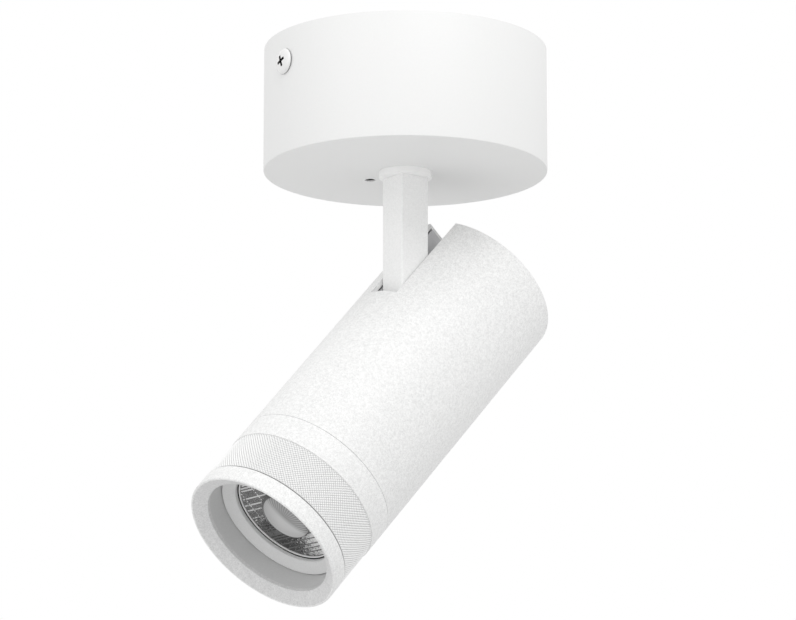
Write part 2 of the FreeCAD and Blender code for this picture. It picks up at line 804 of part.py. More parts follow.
def head_shell():
    """The white tube with its closed rear end and the slot for the arm."""
    body = new_body("head_shell")
    edge = D["shell_edge"]
    rear = -D["shell_rear"]
    spin(body, [
        (0, rear), (HEAD_RADIUS - edge, rear), (HEAD_RADIUS, rear + edge),
        (HEAD_RADIUS, D["shell_front"] - edge), (HEAD_RADIUS - edge, D["shell_front"]),
        (SHELL_INSIDE, D["shell_front"]), (SHELL_INSIDE, REAR_INSIDE), (0, REAR_INSIDE),
    ])
    push_outline(body, "XY_Plane", rear - PAST, D["shell_rear"] + PAST + SLOT_FRONT,
                 oblong(SLOT_LEFT, SLOT_RIGHT, SLOT_FLOOR, HEAD_RADIUS + PAST), cut=True)
    return in_the_head(body)


def pivot_block():
    """The cast cup behind the shell: it lines the slot and holds the tilt pin."""
    wall = D["block_wall"]
    front = D["block_front"]
    far = HEAD_RADIUS + PAST
    boss = half("block_boss_dia")
    blank = cylinder("pivot_block_blank", BLOCK_RADIUS, front - REAR_INSIDE, z=REAR_INSIDE)
    room = cylinder("pivot_block_room", BLOCK_RADIUS - wall, front - REAR_INSIDE,
                    z=REAR_INSIDE + wall)
    liner = box("pivot_block_liner", (SLOT_LEFT - wall, SLOT_FLOOR - wall, REAR_INSIDE),
                (SLOT_RIGHT + wall, far, SLOT_FRONT + wall))
    hub = cylinder("pivot_block_hub", boss, SLOT_LEFT - D["arm_offset"] + D["pin_left"],
                   D["arm_offset"] - D["pin_left"], D["pivot_height"], 0, along_x=True)
    kept = [liner, hub]
    channel = box("pivot_block_channel", (SLOT_LEFT, SLOT_FLOOR, REAR_INSIDE - PAST),
                  (SLOT_RIGHT, far, SLOT_FRONT))
    pin = cylinder("pivot_block_bore", PIN_RADIUS + D["fit_gap"], D["pin_left"] + far,
                   D["arm_offset"] - D["pin_left"], D["pivot_height"], 0, along_x=True)
    wires = cylinder("pivot_block_wire_way", half("nipple_bore"), front + far,
                     D["arm_offset"], SLOT_FLOOR, 0)
    tools = [channel, pin, wires]
    circle = half("sink_screw_circle")
    for index in range(SINK_SCREWS):
        angle = sink_screw_angle(index)
        x = circle * cosine(angle)
        y = circle * sine(angle)
        kept.append(cylinder(f"pivot_block_boss_{index}", boss, front - REAR_INSIDE,
                             x, y, REAR_INSIDE))
        tools.append(cylinder(f"pivot_block_tapping_{index}",
                              half("sink_screw_dia") + D["fit_gap"],
                              D["sink_screw_grip"] + PAST, x, y,
                              front - D["sink_screw_grip"]))
    hollow = cut("pivot_block_hollow", room, [fuse("pivot_block_kept", kept)])
    return in_the_head(cut("pivot_block", blank, [hollow] + tools))


def sink_screw_angle(index):
    """The screws stand between fins, on a line across the head."""
    return as_size(ROUND / 2) / D["fin_count"] + ROUND * index / SINK_SCREWS


def pivot_pin():
    """The tilt pin: its right end is dressed flush with the block's round outside."""
    rod = cylinder("pivot_pin_rod", PIN_RADIUS, D["pin_left"] + D["pin_right"],
                   D["arm_offset"] - D["pin_left"], D["pivot_height"], 0, along_x=True)
    outside = cylinder("pivot_pin_limit", BLOCK_RADIUS, D["pivot_dia"] + 2 * PAST,
                       z=-PIN_RADIUS - PAST)
    pin = doc.addObject("Part::Common", "pivot_pin")
    pin.Base = rod
    pin.Tool = outside
    return in_the_head(pin)


def friction_shims():
    """Two slippery shims, one each side of the arm's eye."""
    shims = []
    thickness = D["shim_thickness"]
    for name, x in (("left", SLOT_LEFT), ("right", SLOT_RIGHT - thickness)):
        blank = cylinder(f"shim_{name}_blank", half("shim_dia"), thickness,
                         x, D["pivot_height"], 0, along_x=True)
        hole = cylinder(f"shim_{name}_hole", PIN_RADIUS + D["fit_gap"], thickness + 2 * PAST,
                        x - PAST, D["pivot_height"], 0, along_x=True)
        shims.append(cut(f"shim_{name}", blank, [hole]))
    return in_the_head(group("friction_shims", shims))


# ---------------------------------------------------------------- head: heat sink and light

def heat_sink():
    """A finned core between two plates: the front one carries the light source."""
    body = new_body("heat_sink")
    low = D["block_front"]
    high = D["sink_front"]
    core = half("sink_core_dia")
    spin(body, [
        (0, low), (BLOCK_RADIUS, low), (BLOCK_RADIUS, low + D["sink_rear_plate"]),
        (core, low + D["sink_rear_plate"]), (core, high - D["sink_front_plate"]),
        (BLOCK_RADIUS, high - D["sink_front_plate"]), (BLOCK_RADIUS, high), (0, high),
    ])
    thick = half("fin_thickness")
    overlap = D["clear_gap"]
    fin = push_outline(body, "XY_Plane", low + D["sink_rear_plate"] - overlap,
                       high - low - D["sink_rear_plate"] - D["sink_front_plate"] + 2 * overlap,
                       oblong(core / 2, BLOCK_RADIUS - overlap, -thick, thick))
    fins = body.newObject("PartDesign::PolarPattern", "heat_sink_fins")
    fins.Originals = [fin]
    fins.Axis = (fin.Profile[0], ["N_Axis"])
    fins.Angle = ROUND
    bind(fins, "Occurrences", D["fin_count"])
    body.Tip = fins
    wire_x, wire_y = wire_way()
    push_circle(body, "XY_Plane", low - PAST, high - low + 2 * PAST, half("wire_way_dia"),
                wire_x, wire_y, cut=True)
    for index in range(SINK_SCREWS):
        angle = sink_screw_angle(index)
        circle = half("sink_screw_circle")
        push_circle(body, "XY_Plane", low - PAST, D["sink_rear_plate"] + 2 * PAST,
                    half("sink_screw_dia") + D["seat_gap"],
                    circle * cosine(angle), circle * sine(angle), cut=True)
    tapped_holes(body, high, "led_screw_circle", "led_screw_dia", "led_screw_grip",
                 LED_SCREWS)
    tapped_holes(body, high, "sleeve_screw_circle", "sleeve_screw_dia",
                 "sleeve_screw_grip", SLEEVE_SCREWS)
    return in_the_head(body)


def wire_way():
    """Where the wires run forward to the light source."""
    angle = D["wire_way_angle"]
    return half("wire_way_circle") * cosine(angle), half("wire_way_circle") * sine(angle)


def tapped_holes(body, face, circle, diameter, grip, count):
    """Blind holes down from a front face, on a circle."""
    for index in range(count):
        angle = as_size(ROUND * index / count)
        push_circle(body, "XY_Plane", face - D[grip] - D["clear_gap"],
                    D[grip] + D["clear_gap"] + PAST, half(diameter) + D["fit_gap"],
                    half(circle) * cosine(angle), half(circle) * sine(angle), cut=True)


def heat_sink_screws():
    def make(name):
        return small_screw(name, "sink_screw_dia",
                           D["sink_rear_plate"] + D["sink_screw_grip"] - D["clear_gap"])
    return ring_of("heat_sink_screws", make, SINK_SCREWS, half("sink_screw_circle"),
                   sink_screw_angle(0), D["block_front"] + D["sink_rear_plate"], in_head=True)


def light_disc(name, radius, height, z):
    """A disc of the light source with clearance holes for its two screws and the wires."""
    blank = cylinder(f"{name}_blank", radius, height, z=z)
    wire_x, wire_y = wire_way()
    tools = [cylinder(f"{name}_wire_way", half("wire_way_dia"), height + 2 * PAST,
                      wire_x, wire_y, z - PAST)]
    for index in range(LED_SCREWS):
        angle = as_size(ROUND * index / LED_SCREWS)
        tools.append(cylinder(
            f"{name}_hole_{index}", half("led_screw_dia") + D["seat_gap"], height + 2 * PAST,
            half("led_screw_circle") * cosine(angle), 0, z - PAST))
    return in_the_head(cut(name, blank, tools))


def thermal_pad():
    return light_disc("thermal_pad", half("board_dia"), D["pad_thickness"], PAD_Z)


def led_board():
    return light_disc("led_board", half("board_dia"), D["board_thickness"], BOARD_Z)


def led_chip():
    chip = cylinder("led_chip_disc", half("chip_dia"), D["chip_thickness"], z=CHIP_Z)
    return in_the_head(group("led_chip", [chip]))


def led_holder():
    """The white clamp ring round the chip."""
    body = new_body("led_holder")
    outer = half("holder_dia")
    board = half("board_dia") + D["seat_gap"]
    top = CHIP_Z + D["holder_height"]
    edge = D["holder_edge"]
    bore = half("holder_bore")
    spin(body, [
        (board, PAD_Z), (outer, PAD_Z), (outer, top - edge), (outer - edge, top),
        (bore + D["holder_flare"], top), (bore, CHIP_Z), (board, CHIP_Z),
    ])
    for index in range(LED_SCREWS):
        angle = as_size(ROUND * index / LED_SCREWS)
        push_circle(body, "XY_Plane", CHIP_Z - PAST, D["holder_height"] + 2 * PAST,
                    half("led_screw_dia") + D["seat_gap"],
                    half("led_screw_circle") * cosine(angle), 0, cut=True)
    return in_the_head(body)


def led_screws():
    def make(name):
        grip = D["led_screw_grip"] + D["pad_thickness"] + D["board_thickness"]
        return small_screw(name, "led_screw_dia", grip + D["holder_height"])
    return ring_of("led_screws", make, LED_SCREWS, half("led_screw_circle"), 0,
                   CHIP_Z + D["holder_height"], in_head=True)


# ---------------------------------------------------------------- head: focusing front

def guide_sleeve():
    """The barrel in the head's mouth: it carries the focus ring outside and guides the lens."""
    body = new_body("guide_sleeve")
    base = D["sink_front"]
    shelf = base + D["sleeve_base"]
    end = SLEEVE_END
    groove = half("drag_ring_cord") + D["running_gap"]
    bottom = SLEEVE_OUTSIDE - D["drag_ring_cord"]
    middle = D["drag_ring_place"]
    spin(body, [
        (half("sleeve_base_bore"), base), (SLEEVE_OUTSIDE, base),
        (SLEEVE_OUTSIDE, middle - groove), (bottom, middle - groove),
        (bottom, middle + groove), (SLEEVE_OUTSIDE, middle + groove),
        (SLEEVE_OUTSIDE, end), (MOUTH, end), (MOUTH, shelf), (half("sleeve_base_bore"), shelf),
    ])
    for index in range(SLEEVE_SCREWS):
        angle = as_size(ROUND * index / SLEEVE_SCREWS)
        push_circle(body, "XY_Plane", base - PAST, D["sleeve_base"] + 2 * PAST,
                    half("sleeve_screw_dia") + D["seat_gap"],
                    half("sleeve_screw_circle") * cosine(angle),
                    half("sleeve_screw_circle") * sine(angle), cut=True)
    width = GUIDE_PIN + D["slide_gap"]
    start = MOUTH - PAST
    slots = []
    for index in range(GUIDES):
        angle = guide_angle(index)
        slot = doc.addObject("Part::Box", f"guide_slot_{index}")
        bind(slot, "Length", D["sleeve_wall"] + 2 * PAST)
        bind(slot, "Width", 2 * width)
        bind(slot, "Height", CAM_RUN + 2 * width)
        turn_z(slot, angle)
        move(slot, start * cosine(angle) + width * sine(angle),
             start * sine(angle) - width * cosine(angle), CAM_START - width)
        slots.append(slot)
    return in_the_head(cut("guide_sleeve_slotted", body, slots))


def guide_angle(index):
    """Where a guide pin stands round the head's axis at rest."""
    return PIN_AZIMUTH + ROUND * index / GUIDES


def sleeve_screws():
    def make(name):
        return small_screw(name, "sleeve_screw_dia",
                           D["sleeve_base"] + D["sleeve_screw_grip"])
    return ring_of("sleeve_screws", make, SLEEVE_SCREWS, half("sleeve_screw_circle"), 0,
                   D["sink_front"] + D["sleeve_base"], in_head=True)


def drag_ring():
    """The rubber ring in the sleeve's groove, which gives the focus ring its drag."""
    ring = doc.addObject("Part::Torus", "drag_ring_cord_loop")
    bind(ring, "Radius1", SLEEVE_OUTSIDE - half("drag_ring_cord") + D["fit_gap"])
    bind(ring, "Radius2", half("drag_ring_cord"))
    move(ring, z=D["drag_ring_place"])
    return in_the_head(group("drag_ring", [ring]))


def focus_ring():
    """The turning ring: a smooth band, the knurled band, and three cam grooves inside."""
    body = new_body("focus_ring")
    knurl = half("knurl_dia")
    edge = D["shell_edge"]
    spin(body, [
        (RING_BORE, RING_BACK), (HEAD_RADIUS - edge, RING_BACK),
        (HEAD_RADIUS, RING_BACK + edge), (HEAD_RADIUS, KNURL_BACK - edge),
        (knurl, KNURL_BACK), (knurl, RING_FRONT - edge), (knurl - edge, RING_FRONT),
        (RING_BORE, RING_FRONT),
    ])
    profile = new_sketch(body, "XZ_Plane")
    lead = D["cam_pitch"] / (2 * math.pi * RING_BORE)
    width = GUIDE_PIN * root(1 + lead * lead) + D["slide_gap"]
    add_outline(profile, oblong(MOUTH, CAM_BOTTOM, CAM_START - width, CAM_START + width))
    groove = body.newObject("PartDesign::SubtractiveHelix", "cam_groove")
    groove.Profile = profile
    groove.ReferenceAxis = (profile, ["V_Axis"])
    groove.Mode = 0
    bind(groove, "Pitch", D["cam_pitch"])
    bind(groove, "Height", CAM_RUN)
    grooves = body.newObject("PartDesign::PolarPattern", "cam_grooves")
    grooves.Originals = [groove]
    grooves.Axis = (profile, ["V_Axis"])
    grooves.Angle = ROUND
    grooves.Occurrences = GUIDES
    body.Tip = grooves
    return in_the_head(body)


def front_bezel():
    """The screwed front ring, with its flared white mouth."""
    body = new_body("front_bezel")
    rim = D["bezel_rim"]
    edge = D["shell_edge"]
    thread = SLEEVE_OUTSIDE + D["fit_gap"]
    hub = thread + D["bezel_hub_wall"]
    hub_back = RING_FRONT + D["slide_gap"]
    radius = half("knurl_dia")
    spin(body, [
        (thread, hub_back), (hub, hub_back), (hub, BEZEL_BACK), (radius - edge, BEZEL_BACK),
        (radius, BEZEL_BACK + edge), (radius, BEZEL_FRONT - edge), (radius - edge, BEZEL_FRONT),
        (radius - edge - rim, BEZEL_FRONT), (MOUTH, BEZEL_FRONT - D["bezel_flare_depth"]),
        (MOUTH, SLEEVE_END), (thread, SLEEVE_END),
    ])
    return in_the_head(body)


def lens_carrier():
    """The sliding ring: its white funnel faces out, and its lip holds the lens."""
    body = new_body("lens_carrier")
    window = half("lens_window_dia")
    spin(body, [
        (window, LENS_SEAT), (window, WINDOW_Z), (CARRIER_OUTSIDE, D["carrier_front"]),
        (CARRIER_OUTSIDE, CARRIER_BACK), (LENS_POCKET, CARRIER_BACK),
        (LENS_POCKET, LENS_SEAT),
    ])
    bores = []
    for index in range(GUIDES):
        bores.append(radial_rod(f"carrier_bore_{index}", GUIDE_PIN + D["fit_gap"],
                                LENS_POCKET - PAST, CARRIER_OUTSIDE + PAST,
                                guide_angle(index)))
    return in_the_head(cut("lens_carrier_bored", body, bores))


def radial_rod(name, radius, inner, outer, angle):
    """A rod that lies square to the head's axis at the guide pins' height."""
    rod = cylinder(name, radius, outer - inner, inner, 0, D["guide_pin_place"], along_x=True)
    holder = group(f"{name}_turned", [rod])
    return turn_z(holder, angle)


def guide_pins():
    pins = []
    for index in range(GUIDES):
        pins.append(radial_rod(f"guide_pin_{index + 1}", GUIDE_PIN,
                               LENS_POCKET + D["fit_gap"], CAM_BOTTOM - D["slide_gap"],
                               guide_angle(index)))
    return in_the_head(group("guide_pins", pins))


def lens_gasket():
    return in_the_head(washer("lens_gasket", LENS_POCKET - D["fit_gap"],
                              half("lens_window_dia") - D["seat_gap"],
                              D["gasket_thickness"], LENS_FRONT))


def lens():
    """A clear lens with a flat rim, a raised middle and a hollow back."""
    body = new_body("lens")
    edge = half("lens_dia")
    dome = half("lens_dome_dia")
    rise = D["lens_dome_rise"]
    back = half("lens_back_dia")
    deep = LENS_BACK - D["lens_back_depth"]
    hollow = D["lens_back_hollow"]
    quarter = as_size(ROUND / 4)
    middle = []
    for step in range(DOME_STEPS):
        angle = quarter * step / DOME_STEPS
        middle.append((dome * cosine(angle), LENS_FRONT + rise * sine(angle)))
    spin(body, [
        (0, deep + hollow), (dome, deep), (back, LENS_BACK), (edge, LENS_BACK),
        (edge, LENS_FRONT),
    ] + middle + [(0, LENS_FRONT + rise)])
    return in_the_head(body)


def lens_retainer():
    return in_the_head(washer("lens_retainer", LENS_POCKET - D["fit_gap"],
                              half("retainer_bore"), D["retainer_thickness"],
                              LENS_BACK - D["retainer_thickness"]))


# ---------------------------------------------------------------- canopy electrics

def driver_case():
    """The driver's open box, with a screw foot at each end."""
    body = new_body("driver_case")
    x_low = D["driver_inside"]
    x_high = D["driver_outside"]
    y_end = half("driver_length")
    wall = D["driver_wall"]
    height = D["driver_height"] - D["driver_lid"]
    push_outline(body, "XY_Plane", FLOOR, height, oblong(x_low, x_high, -y_end, y_end))
    push_outline(body, "XY_Plane", FLOOR + wall, height,
                 oblong(x_low + wall, x_high - wall, wall - y_end, y_end - wall), cut=True)
    side = half("driver_foot_width")
    for x, y in stud_places()[:2]:
        end = 1 if y.value > 0 else -1
        inner = end * y_end
        outer = end * (y_end + D["driver_foot"])
        push_outline(body, "XY_Plane", FLOOR, D["driver_foot_thickness"],
                     oblong(x - side, x + side, inner, outer))
        push_circle(body, "XY_Plane", FLOOR - PAST, D["driver_foot_thickness"] + 2 * PAST,
                    half("stud_dia") + D["fit_gap"], x, y, cut=True)
    return body


def stud_places():
    """The centres of the floor's studs: two for the driver, then one for the terminals."""
    x = D["driver_inside"] + half("driver_foot_width")
    nut_corner = half("stud_nut_flats") / cosine(as_size(ROUND / 12))
    y = half("driver_length") + nut_corner + D["clear_gap"]
    last = D["terminal_ways"].value - 1
    return [(x, y), (x, -y), (TERMINAL_X, (terminal_y(last) + terminal_y(last - 1)) / 2)]


def stud_grips():
    """What each stud clamps, above the canopy's floor."""
    return [D["driver_foot_thickness"], D["driver_foot_thickness"], D["terminal_height"]]


def cup_studs():
    """Threaded studs that stand on the canopy's floor."""
    studs = []
    for (x, y), grip in zip(stud_places(), stud_grips()):
        height = grip + D["stud_nut_height"] + D["stud_spare"]
        studs.append(cylinder(f"cup_stud_{len(studs) + 1}", half("stud_dia"), height,
                              x, y, FLOOR))
    return group("cup_studs", studs)


def stud_nuts():
    nuts = []
    for (x, y), grip in zip(stud_places(), stud_grips()):
        nut = new_body(f"stud_nut_{len(nuts) + 1}")
        push_outline(nut, "XY_Plane", 0, D["stud_nut_height"], hexagon(D["stud_nut_flats"]))
        push_circle(nut, "XY_Plane", -PAST, D["stud_nut_height"] + 2 * PAST,
                    half("stud_dia") + D["fit_gap"], cut=True)
        nuts.append(move(nut, x, y, FLOOR + grip))
    return group("stud_nuts", nuts)


def driver_board():
    """The driver's circuit board, on ribs of the case."""
    gap = D["driver_wall"] + D["seat_gap"]
    low = FLOOR + D["driver_board_rise"]
    y_end = half("driver_length") - gap
    board = box("driver_board_plate", (D["driver_inside"] + gap, -y_end, low),
                (D["driver_outside"] - gap, y_end, low + D["driver_board_thickness"]))
    return group("driver_board", [board])


def driver_parts():
    """The transformer and two capacitors on the board."""
    top = FLOOR + D["driver_board_rise"] + D["driver_board_thickness"]
    room = D["driver_height"] - D["driver_lid"] - D["driver_board_rise"]
    room = room - D["driver_board_thickness"] - D["clear_gap"]
    side = half("transformer_side")
    core = box("transformer_core", (DRIVER_X - side, -side, top),
               (DRIVER_X + side, side, top + room))
    cans = []
    for end in (-1, 1):
        place = end * (half("driver_length") - D["capacitor_inset"])
        cans.append(cylinder(f"capacitor_{end + 2}", half("capacitor_dia"),
                             D["capacitor_height"], DRIVER_X, place, top))
    return group("driver_parts", [core] + cans)


def driver_lid():
    top = FLOOR + D["driver_height"]
    y_end = half("driver_length")
    lid = box("driver_lid_plate", (D["driver_inside"], -y_end, top - D["driver_lid"]),
              (D["driver_outside"], y_end, top))
    return group("driver_lid", [lid])


def terminal_block():
    """The mains terminal block: one wire way and one screw well each side, for each way."""
    x_low = -D["terminal_outside"]
    x_high = x_low + D["terminal_width"]
    y_end = half("terminal_length")
    top = FLOOR + D["terminal_height"]
    blank = box("terminal_blank", (x_low, -y_end, FLOOR), (x_high, y_end, top))
    tools = []
    for way, side, x, y in terminal_places():
        tools.append(cylinder(f"terminal_well_{way}_{side}",
                              half("terminal_screw_dia") + D["running_gap"],
                              D["terminal_well_depth"] + PAST, x, y, WELL_FLOOR))
    for way in range(int(D["terminal_ways"].value)):
        tools.append(cylinder(f"terminal_wire_{way}", half("terminal_wire_dia"),
                              D["terminal_width"] + 2 * PAST, x_low - PAST,
                              terminal_y(way), FLOOR + D["terminal_wire_rise"],
                              along_x=True))
    x, y = stud_places()[2]
    tools.append(cylinder("terminal_stud_hole", half("stud_dia") + D["fit_gap"],
                          D["terminal_height"] + 2 * PAST, x, y, FLOOR - PAST))
    return cut("terminal_block", blank, tools)


def terminal_y(way):
    pitch = D["terminal_length"] / D["terminal_ways"]
    return pitch * (way - (D["terminal_ways"].value - 1) / 2)


def terminal_places():
    places = []
    for way in range(int(D["terminal_ways"].value)):
        for side in (-1, 1):
            x = TERMINAL_X + side * half("terminal_screw_spread")
            places.append((way, side, x, terminal_y(way)))
    return places


def terminal_screws():
    """The clamp screws, down in their wells, one for each wire."""
    screws = []
    for way, side, x, y in terminal_places():
        rod = cylinder(f"terminal_screw_{way}_{side}", half("terminal_screw_dia"),
                       D["terminal_screw_length"], x, y, WELL_FLOOR)
        screws.append(rod)
    return group("terminal_screws", screws)


# ---------------------------------------------------------------- build and export

NODES = {
    "canopy_cup": canopy_cup,
    "ceiling_bracket": ceiling_bracket,
    "canopy_side_screws": canopy_side_screws,
    "cable_grommet": cable_grommet,
    "earth_screw": earth_screw,
    "earth_clamp": earth_clamp,
    "swivel_bush": swivel_bush,
    "stop_screw": stop_screw,
    "driver_case": driver_case,
    "cup_studs": cup_studs,
    "stud_nuts": stud_nuts,
    "driver_board": driver_board,
    "driver_parts": driver_parts,
    "driver_lid": driver_lid,
    "terminal_block": terminal_block,
    "terminal_screws": terminal_screws,
    "stem": stem,
    "pivot_bush": pivot_bush,
    "stem_nipple": stem_nipple,
    "slip_washer": slip_washer,
    "stop_plate": stop_plate,
    "wave_washer": wave_washer,
    "lock_nut": lock_nut,
    "head_shell": head_shell,
    "pivot_block": pivot_block,
    "pivot_pin": pivot_pin,
    "friction_shims": friction_shims,
    "heat_sink": heat_sink,
    "heat_sink_screws": heat_sink_screws,
    "thermal_pad": thermal_pad,
    "led_board": led_board,
    "led_chip": led_chip,
    "led_holder": led_holder,
    "led_screws": led_screws,
    "guide_sleeve": guide_sleeve,
    "sleeve_screws": sleeve_screws,
    "drag_ring": drag_ring,
    "focus_ring": focus_ring,
    "front_bezel": front_bezel,
    "lens_carrier": lens_carrier,
    "guide_pins": guide_pins,
    "lens_gasket": lens_gasket,
    "lens": lens,
    "lens_retainer": lens_retainer,
}


def build():
    pieces = {}
    for name, make in NODES.items():
        piece = make()
        if piece.Name != name and piece.Label != name:
            for other in doc.getObjectsByLabel(name):
                other.Label = f"{name}_blank"
            piece.Label = name
        pieces[name] = piece
    doc.recompute()
    for thing in doc.Objects:
        if "Invalid" in thing.State or "Error" in thing.State:
            raise RuntimeError(f"{thing.Label} failed to build")
    for name, piece in pieces.items():
        if piece.Shape.isNull() or not piece.Shape.isValid():
            raise RuntimeError(f"{name} has no valid shape")
    return pieces


def export(pieces):
    os.makedirs("parts", exist_ok=True)
    for name, piece in pieces.items():
        piece.Shape.exportStep(os.path.join("parts", f"{name}.step"))
        solids = len(piece.Shape.Solids)
        print(f"{name}: {solids} solids, {piece.Shape.Volume:.1f} mm3")


export(build())
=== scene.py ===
"""Looks of the surface mounted ceiling spotlight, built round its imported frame.

Every piece of the head is shaped upright, in the head's own frame, and then laid into
place: its Z runs along the head's axis to the front, and its Y points to the slotted side.
"""

import math

import bpy
from mathutils import Matrix, Vector


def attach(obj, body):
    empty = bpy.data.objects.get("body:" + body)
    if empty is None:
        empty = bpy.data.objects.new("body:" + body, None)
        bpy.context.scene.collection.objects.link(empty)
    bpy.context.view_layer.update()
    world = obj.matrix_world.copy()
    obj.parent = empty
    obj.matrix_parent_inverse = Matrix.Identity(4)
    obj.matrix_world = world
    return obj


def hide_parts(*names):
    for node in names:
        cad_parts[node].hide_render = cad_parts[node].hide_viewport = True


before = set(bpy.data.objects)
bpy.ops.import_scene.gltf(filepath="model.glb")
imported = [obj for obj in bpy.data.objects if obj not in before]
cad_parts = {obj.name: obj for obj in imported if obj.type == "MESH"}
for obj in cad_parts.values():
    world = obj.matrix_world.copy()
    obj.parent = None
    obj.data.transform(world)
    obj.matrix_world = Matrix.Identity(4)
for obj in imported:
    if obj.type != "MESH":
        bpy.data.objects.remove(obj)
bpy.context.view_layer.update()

MM = 0.001              # metres in a millimetre

# ------------------------------------------------------------------ sizes, in millimetres

PAST = 2.0              # how far a cutter goes past what it cuts
NEAR = 0.01             # two heights this near are the same

# canopy: radii and heights from the ceiling
CANOPY_RADIUS = 50.0
CANOPY_HEIGHT = 44.5
CANOPY_WALL = 1.5
CANOPY_EDGE = 0.5
SIDE_SCREW_DROP = 11.8
SIDE_SCREW_HOLE = 2.2
BRACKET_TURN = -3.8     # degrees that the crossbar and the side screws are turned by
STOP_SCREW_AT = (16.6, 191.8)       # radius, degrees
STOP_SCREW_HEAD = 3.84              # diameter
STOP_SCREW_SUNK = 0.35
STOP_SCREW_TOP = -38.4
STOP_SOCKET = (0.95, 1.6)           # radius, length
COLLAR_RADIUS = 9.3
COLLAR_FACE = -46.7
BUSH_OUTSIDE = 6.45
BUSH_BORE = 5.05
BUSH_TOP = -42.0

# side screw: radius and height of its outline, from the cup's side outwards
SEAT_RADIUS = 3.6
SEAT_HEIGHT = 0.25
CROWN_HEIGHT = 1.4      # above this the head is nearly flat
SIDE_SCREW_SHANK = [(0, -7.0), (1.7, -7.0), (2.0, -6.6), (2.0, 0.0)]
SIDE_SCREW_SEAT = [(SEAT_RADIUS, 0.0), (SEAT_RADIUS, SEAT_HEIGHT)]
SIDE_SCREW_HEAD = [
    (4.45, SEAT_HEIGHT), (4.5, 0.35), (4.5, 0.62), (4.35, 0.95), (3.9, 1.25), (3.0, 1.55),
    (1.6, 1.75), (0, 1.8)]
RECESS_REACH = 2.8
RECESS_HALF = 0.6
RECESS_FLOOR = 0.1
RECESS_TOP = 2.6
RECESS_TAPER = (0.35, 0.6, 1)       # size of the recess's floor, as a share of its top
RECESS_TURN = 20        # degrees

# arm: square, with an eye round the pivot
STEM_SIDE = 11.6
STEM_CORNER = 0.6
STEM_TOP = -46.72
STEM_SPARE = 2.0        # height that is cut off again, so that the top stays sharp
EYE_PLAY = 0.05         # how far the eye's foot stays short of a full round
EYE_FLAT = 0.15         # half of the flat that is left at the eye's foot
EYE_STEPS = 16
PIVOT_Z = -89.1
PIVOT_BORE = 3.07
PIVOT_BORE_LENGTH = 20
NIPPLE_HOLE = 5.02
NIPPLE_DEPTH = 8
WIRE_EXIT = 2.25
WIRE_EXIT_RISE = 11.6   # above the tilt pin
WIRE_EXIT_LENGTH = 10
WIRE_WAY = 3.0
WIRE_WAY_RISE = 28.6    # of its middle, above the tilt pin
WIRE_WAY_LENGTH = 40

# head: radii, and heights along its axis from the tilt pin to the front
TILT_REST = 42.4        # degrees from straight down
ARM_OFFSET = 6.4
PIVOT_HEIGHT = 20.92
HEAD_RADIUS = 29.4
SHELL_WALL = 1.6
SHELL_REAR = -32.5
SHELL_END = 1.1
SHELL_FRONT = 72.7
SLOT_HALF = 6.2
SLOT_FLOOR = 14.52
SLOT_FRONT = 6.4

BAND_BACK = 72.85
KNURL_BACK = 82.7
RING_FRONT = 98.9
RING_BORE = 25.7
KNURL_RADIUS = 29.25
KNURL_HEIGHT = 0.36
KNURL_SKIN = 1.0        # how far the ring's core lies under the knurl's tips
KNURL_LAP = 0.05
KNURL_LEDGE = 0.965     # share of the radius that the knurl's inside has
KNURLS_AROUND = 160
KNURL_ROWS = 14
BEZEL_GAP = 0.1
BEZEL_BACK = 99.3
BEZEL_FRONT = 105.7
BEZEL_HUB = 27.2
MOUTH = 24.15
SLEEVE_OUTSIDE = 25.67
SLEEVE_END = 101.5
FLARE_DEPTH = 2.9
RIM_INSET = 0.3
RIM = 0.35

CARRIER_OUTSIDE = 24.05
CARRIER_FRONT = 94.8
FRONT_RELIEF = 0.3
RELIEF_LENGTH = 4.0
RELIEF_SLOPE = 0.3
CARRIER_BACK = 80.8
WINDOW_RADIUS = 19.8
WINDOW_Z = 92.6
LENS_SEAT = 91.4
LENS_POCKET = 20.82
LENS_FRONT = 90.8
LENS_BACK = 87.8
LENS_RADIUS = 20.8
LENS_CUP = [(0, 3.0), (9, 4.5)]     # radius, and depth behind the lens's back
LENS_CUP_EDGE = 15
DOME_RADIUS = 9.4
DOME_FOOT = 1.2
DOME_RISE = 2.1
DOME_STEP = 6           # degrees
CELL_SIZE = 0.62        # across the flats
CELL_LIFT = 0.02
CELL_STEPS = ((0.05, 0.07), (0.08, 0.04))       # inset, rise
DOME_TO_CELLS = 0.45
CELLS_TO_RIM = 0.3
GOLDEN = 0.6180339      # steps that spread the cells' shares evenly from 0 to 1
SECOND_STEP = 0.377
RIM_INSIDE = 19.0
RIM_WIDTH = 0.3
RIM_HEIGHT = 0.5

CORNER_STEPS = 3        # faces on a rounded corner

# straight faces round a turned piece, by its size
ROUND_LARGE = 256
ROUND_LENS = 192
ROUND_COLLAR = 128
ROUND_SCREW = 96
ROUND_SMALL = 48

HEAD_PLACE = (
    Matrix.Translation(Vector((0, 0, PIVOT_Z)) * MM)
    @ Matrix.Rotation(math.radians(180 - TILT_REST), 4, "X")
    @ Matrix.Translation(Vector((-ARM_OFFSET, -PIVOT_HEIGHT, 0)) * MM)
)


# ------------------------------------------------------------------ finishes

